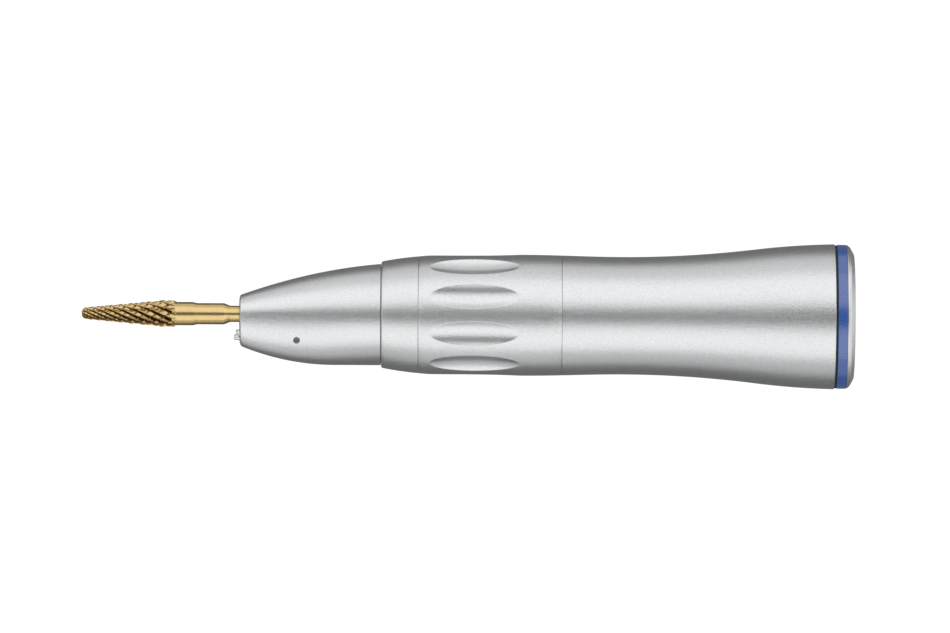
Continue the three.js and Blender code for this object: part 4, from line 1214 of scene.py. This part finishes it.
class HANDPIECE_OT_stage(Operator):
    """Makes the camera, the softboxes, the pale floor and the white backdrop"""
    bl_idname = "handpiece.stage"
    bl_label = "Stage"

    def softbox(self, aim, brightness, name, rise, spread, share, heading, wide):
        """A flat light 1 m from the aim, which it faces."""
        light = bpy.data.lights.new(name, "AREA")
        light.shape = "RECTANGLE"
        light.size = wide
        light.size_y = 2 * math.tan(math.radians(spread))
        light.energy = brightness * share * math.pi * light.size * light.size_y
        made = bpy.data.objects.new(name, light)
        made.rotation_euler = (math.radians(90 - rise), 0, math.radians(heading))
        made.location = aim + made.rotation_euler.to_matrix() @ Vector((0, 0, 1))
        made.visible_camera = False
        bpy.context.scene.collection.objects.link(made)

    def camera(self, sizes, aim):
        """A long lens at the height of the object."""
        data = bpy.data.cameras.new("camera")
        data.sensor_width = 36
        data.lens = data.sensor_width * sizes.camera_distance / sizes.frame_width
        made = bpy.data.objects.new("camera", data)
        made.location = aim + Vector((0, -sizes.camera_distance, 0))
        made.rotation_euler = (math.pi / 2, sizes.camera_roll, 0)
        bpy.context.scene.collection.objects.link(made)
        bpy.context.scene.camera = made

    def backdrop(self, name, mesh, finish):
        """A stage piece that only the camera sees, so that it neither lights nor shades the object."""
        made = solid(name, mesh)
        made.data.materials.append(finish)
        made.data.shade_smooth()
        for ray in ("diffuse", "glossy", "transmission", "volume_scatter", "shadow"):
            setattr(made, "visible_" + ray, False)
        made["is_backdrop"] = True

    def execute(self, context):
        scene = context.scene
        sizes = scene.handpiece_stage
        low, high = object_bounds()
        centre = (low + high) / 2
        aim = Vector((centre.x + sizes.aim_right, 0, -sizes.aim_down))
        self.camera(sizes, aim)

        for softbox in SOFTBOXES:
            self.softbox(aim, sizes.brightness, *softbox)

        dome = bmesh.new()
        bmesh.ops.create_icosphere(dome, subdivisions=5, radius=BACKDROP_RADIUS)
        self.backdrop("backdrop", dome, matt_backdrop("white_paper_backdrop", [1, 1, 1, 1], BACKDROP_GLOW))
        top, paper = low.z - FLOOR_DROP, list(scene.handpiece_finishes.floor)
        bottom = top - FLOOR_THICKNESS
        disc = turned([(top, 0), (top, FLOOR_RADIUS), (bottom, FLOOR_RADIUS), (bottom, 0)], 128)
        upright = [[(y, z, x) for x, y, z in strip] for strip in disc]
        self.backdrop("floor", loft(upright, False), matt_backdrop("pale_paper_floor", paper, FLOOR_GLOW))

        world = bpy.data.worlds.new("studio")
        world.use_nodes = True
        world.node_tree.nodes["Background"].inputs[0].default_value = (*[sizes.fill] * 3, 1)
        scene.world = world
        scene.view_settings.view_transform = "Standard"
        return {"FINISHED"}


# Panel and registration

PIECES = (
    HANDPIECE_OT_nose,
    HANDPIECE_OT_nozzle,
    HANDPIECE_OT_collar,
    HANDPIECE_OT_grip,
    HANDPIECE_OT_body,
    HANDPIECE_OT_rear_rings,
    HANDPIECE_OT_socket,
    HANDPIECE_OT_drive,
    HANDPIECE_OT_chuck,
    HANDPIECE_OT_bearings,
    HANDPIECE_OT_orings,
    HANDPIECE_OT_cutter,
    HANDPIECE_OT_inner_finishes,
    HANDPIECE_OT_stage,
)

SETTINGS = {
    "handpiece_casing": CasingSizes,
    "handpiece_grip": GripSizes,
    "handpiece_cutter": CutterSizes,
    "handpiece_stage": StageSizes,
    "handpiece_finishes": Finishes,
}


class HANDPIECE_PT_panel(Panel):
    """Lists the sizes, the colours and the steps that build the handpiece"""
    bl_idname = "HANDPIECE_PT_panel"
    bl_label = "Dental handpiece"
    bl_space_type = "VIEW_3D"
    bl_region_type = "UI"
    bl_category = "Handpiece"

    def draw(self, context):
        for name, group in SETTINGS.items():
            box = self.layout.box()
            for field in group.__annotations__:
                box.prop(getattr(context.scene, name), field)
        for piece in PIECES:
            self.layout.operator(piece.bl_idname)


def register():
    for group in (*SETTINGS.values(), *PIECES, HANDPIECE_PT_panel):
        bpy.utils.register_class(group)
    for name, group in SETTINGS.items():
        setattr(bpy.types.Scene, name, PointerProperty(type=group))


def unregister():
    for name in SETTINGS:
        delattr(bpy.types.Scene, name)
    for group in reversed((*SETTINGS.values(), *PIECES, HANDPIECE_PT_panel)):
        bpy.utils.unregister_class(group)


def main():
    """Builds every piece in order."""
    register()
    for piece in PIECES:
        family, step = piece.bl_idname.split(".")
        getattr(getattr(bpy.ops, family), step)()


if __name__ == "__main__":
    main()
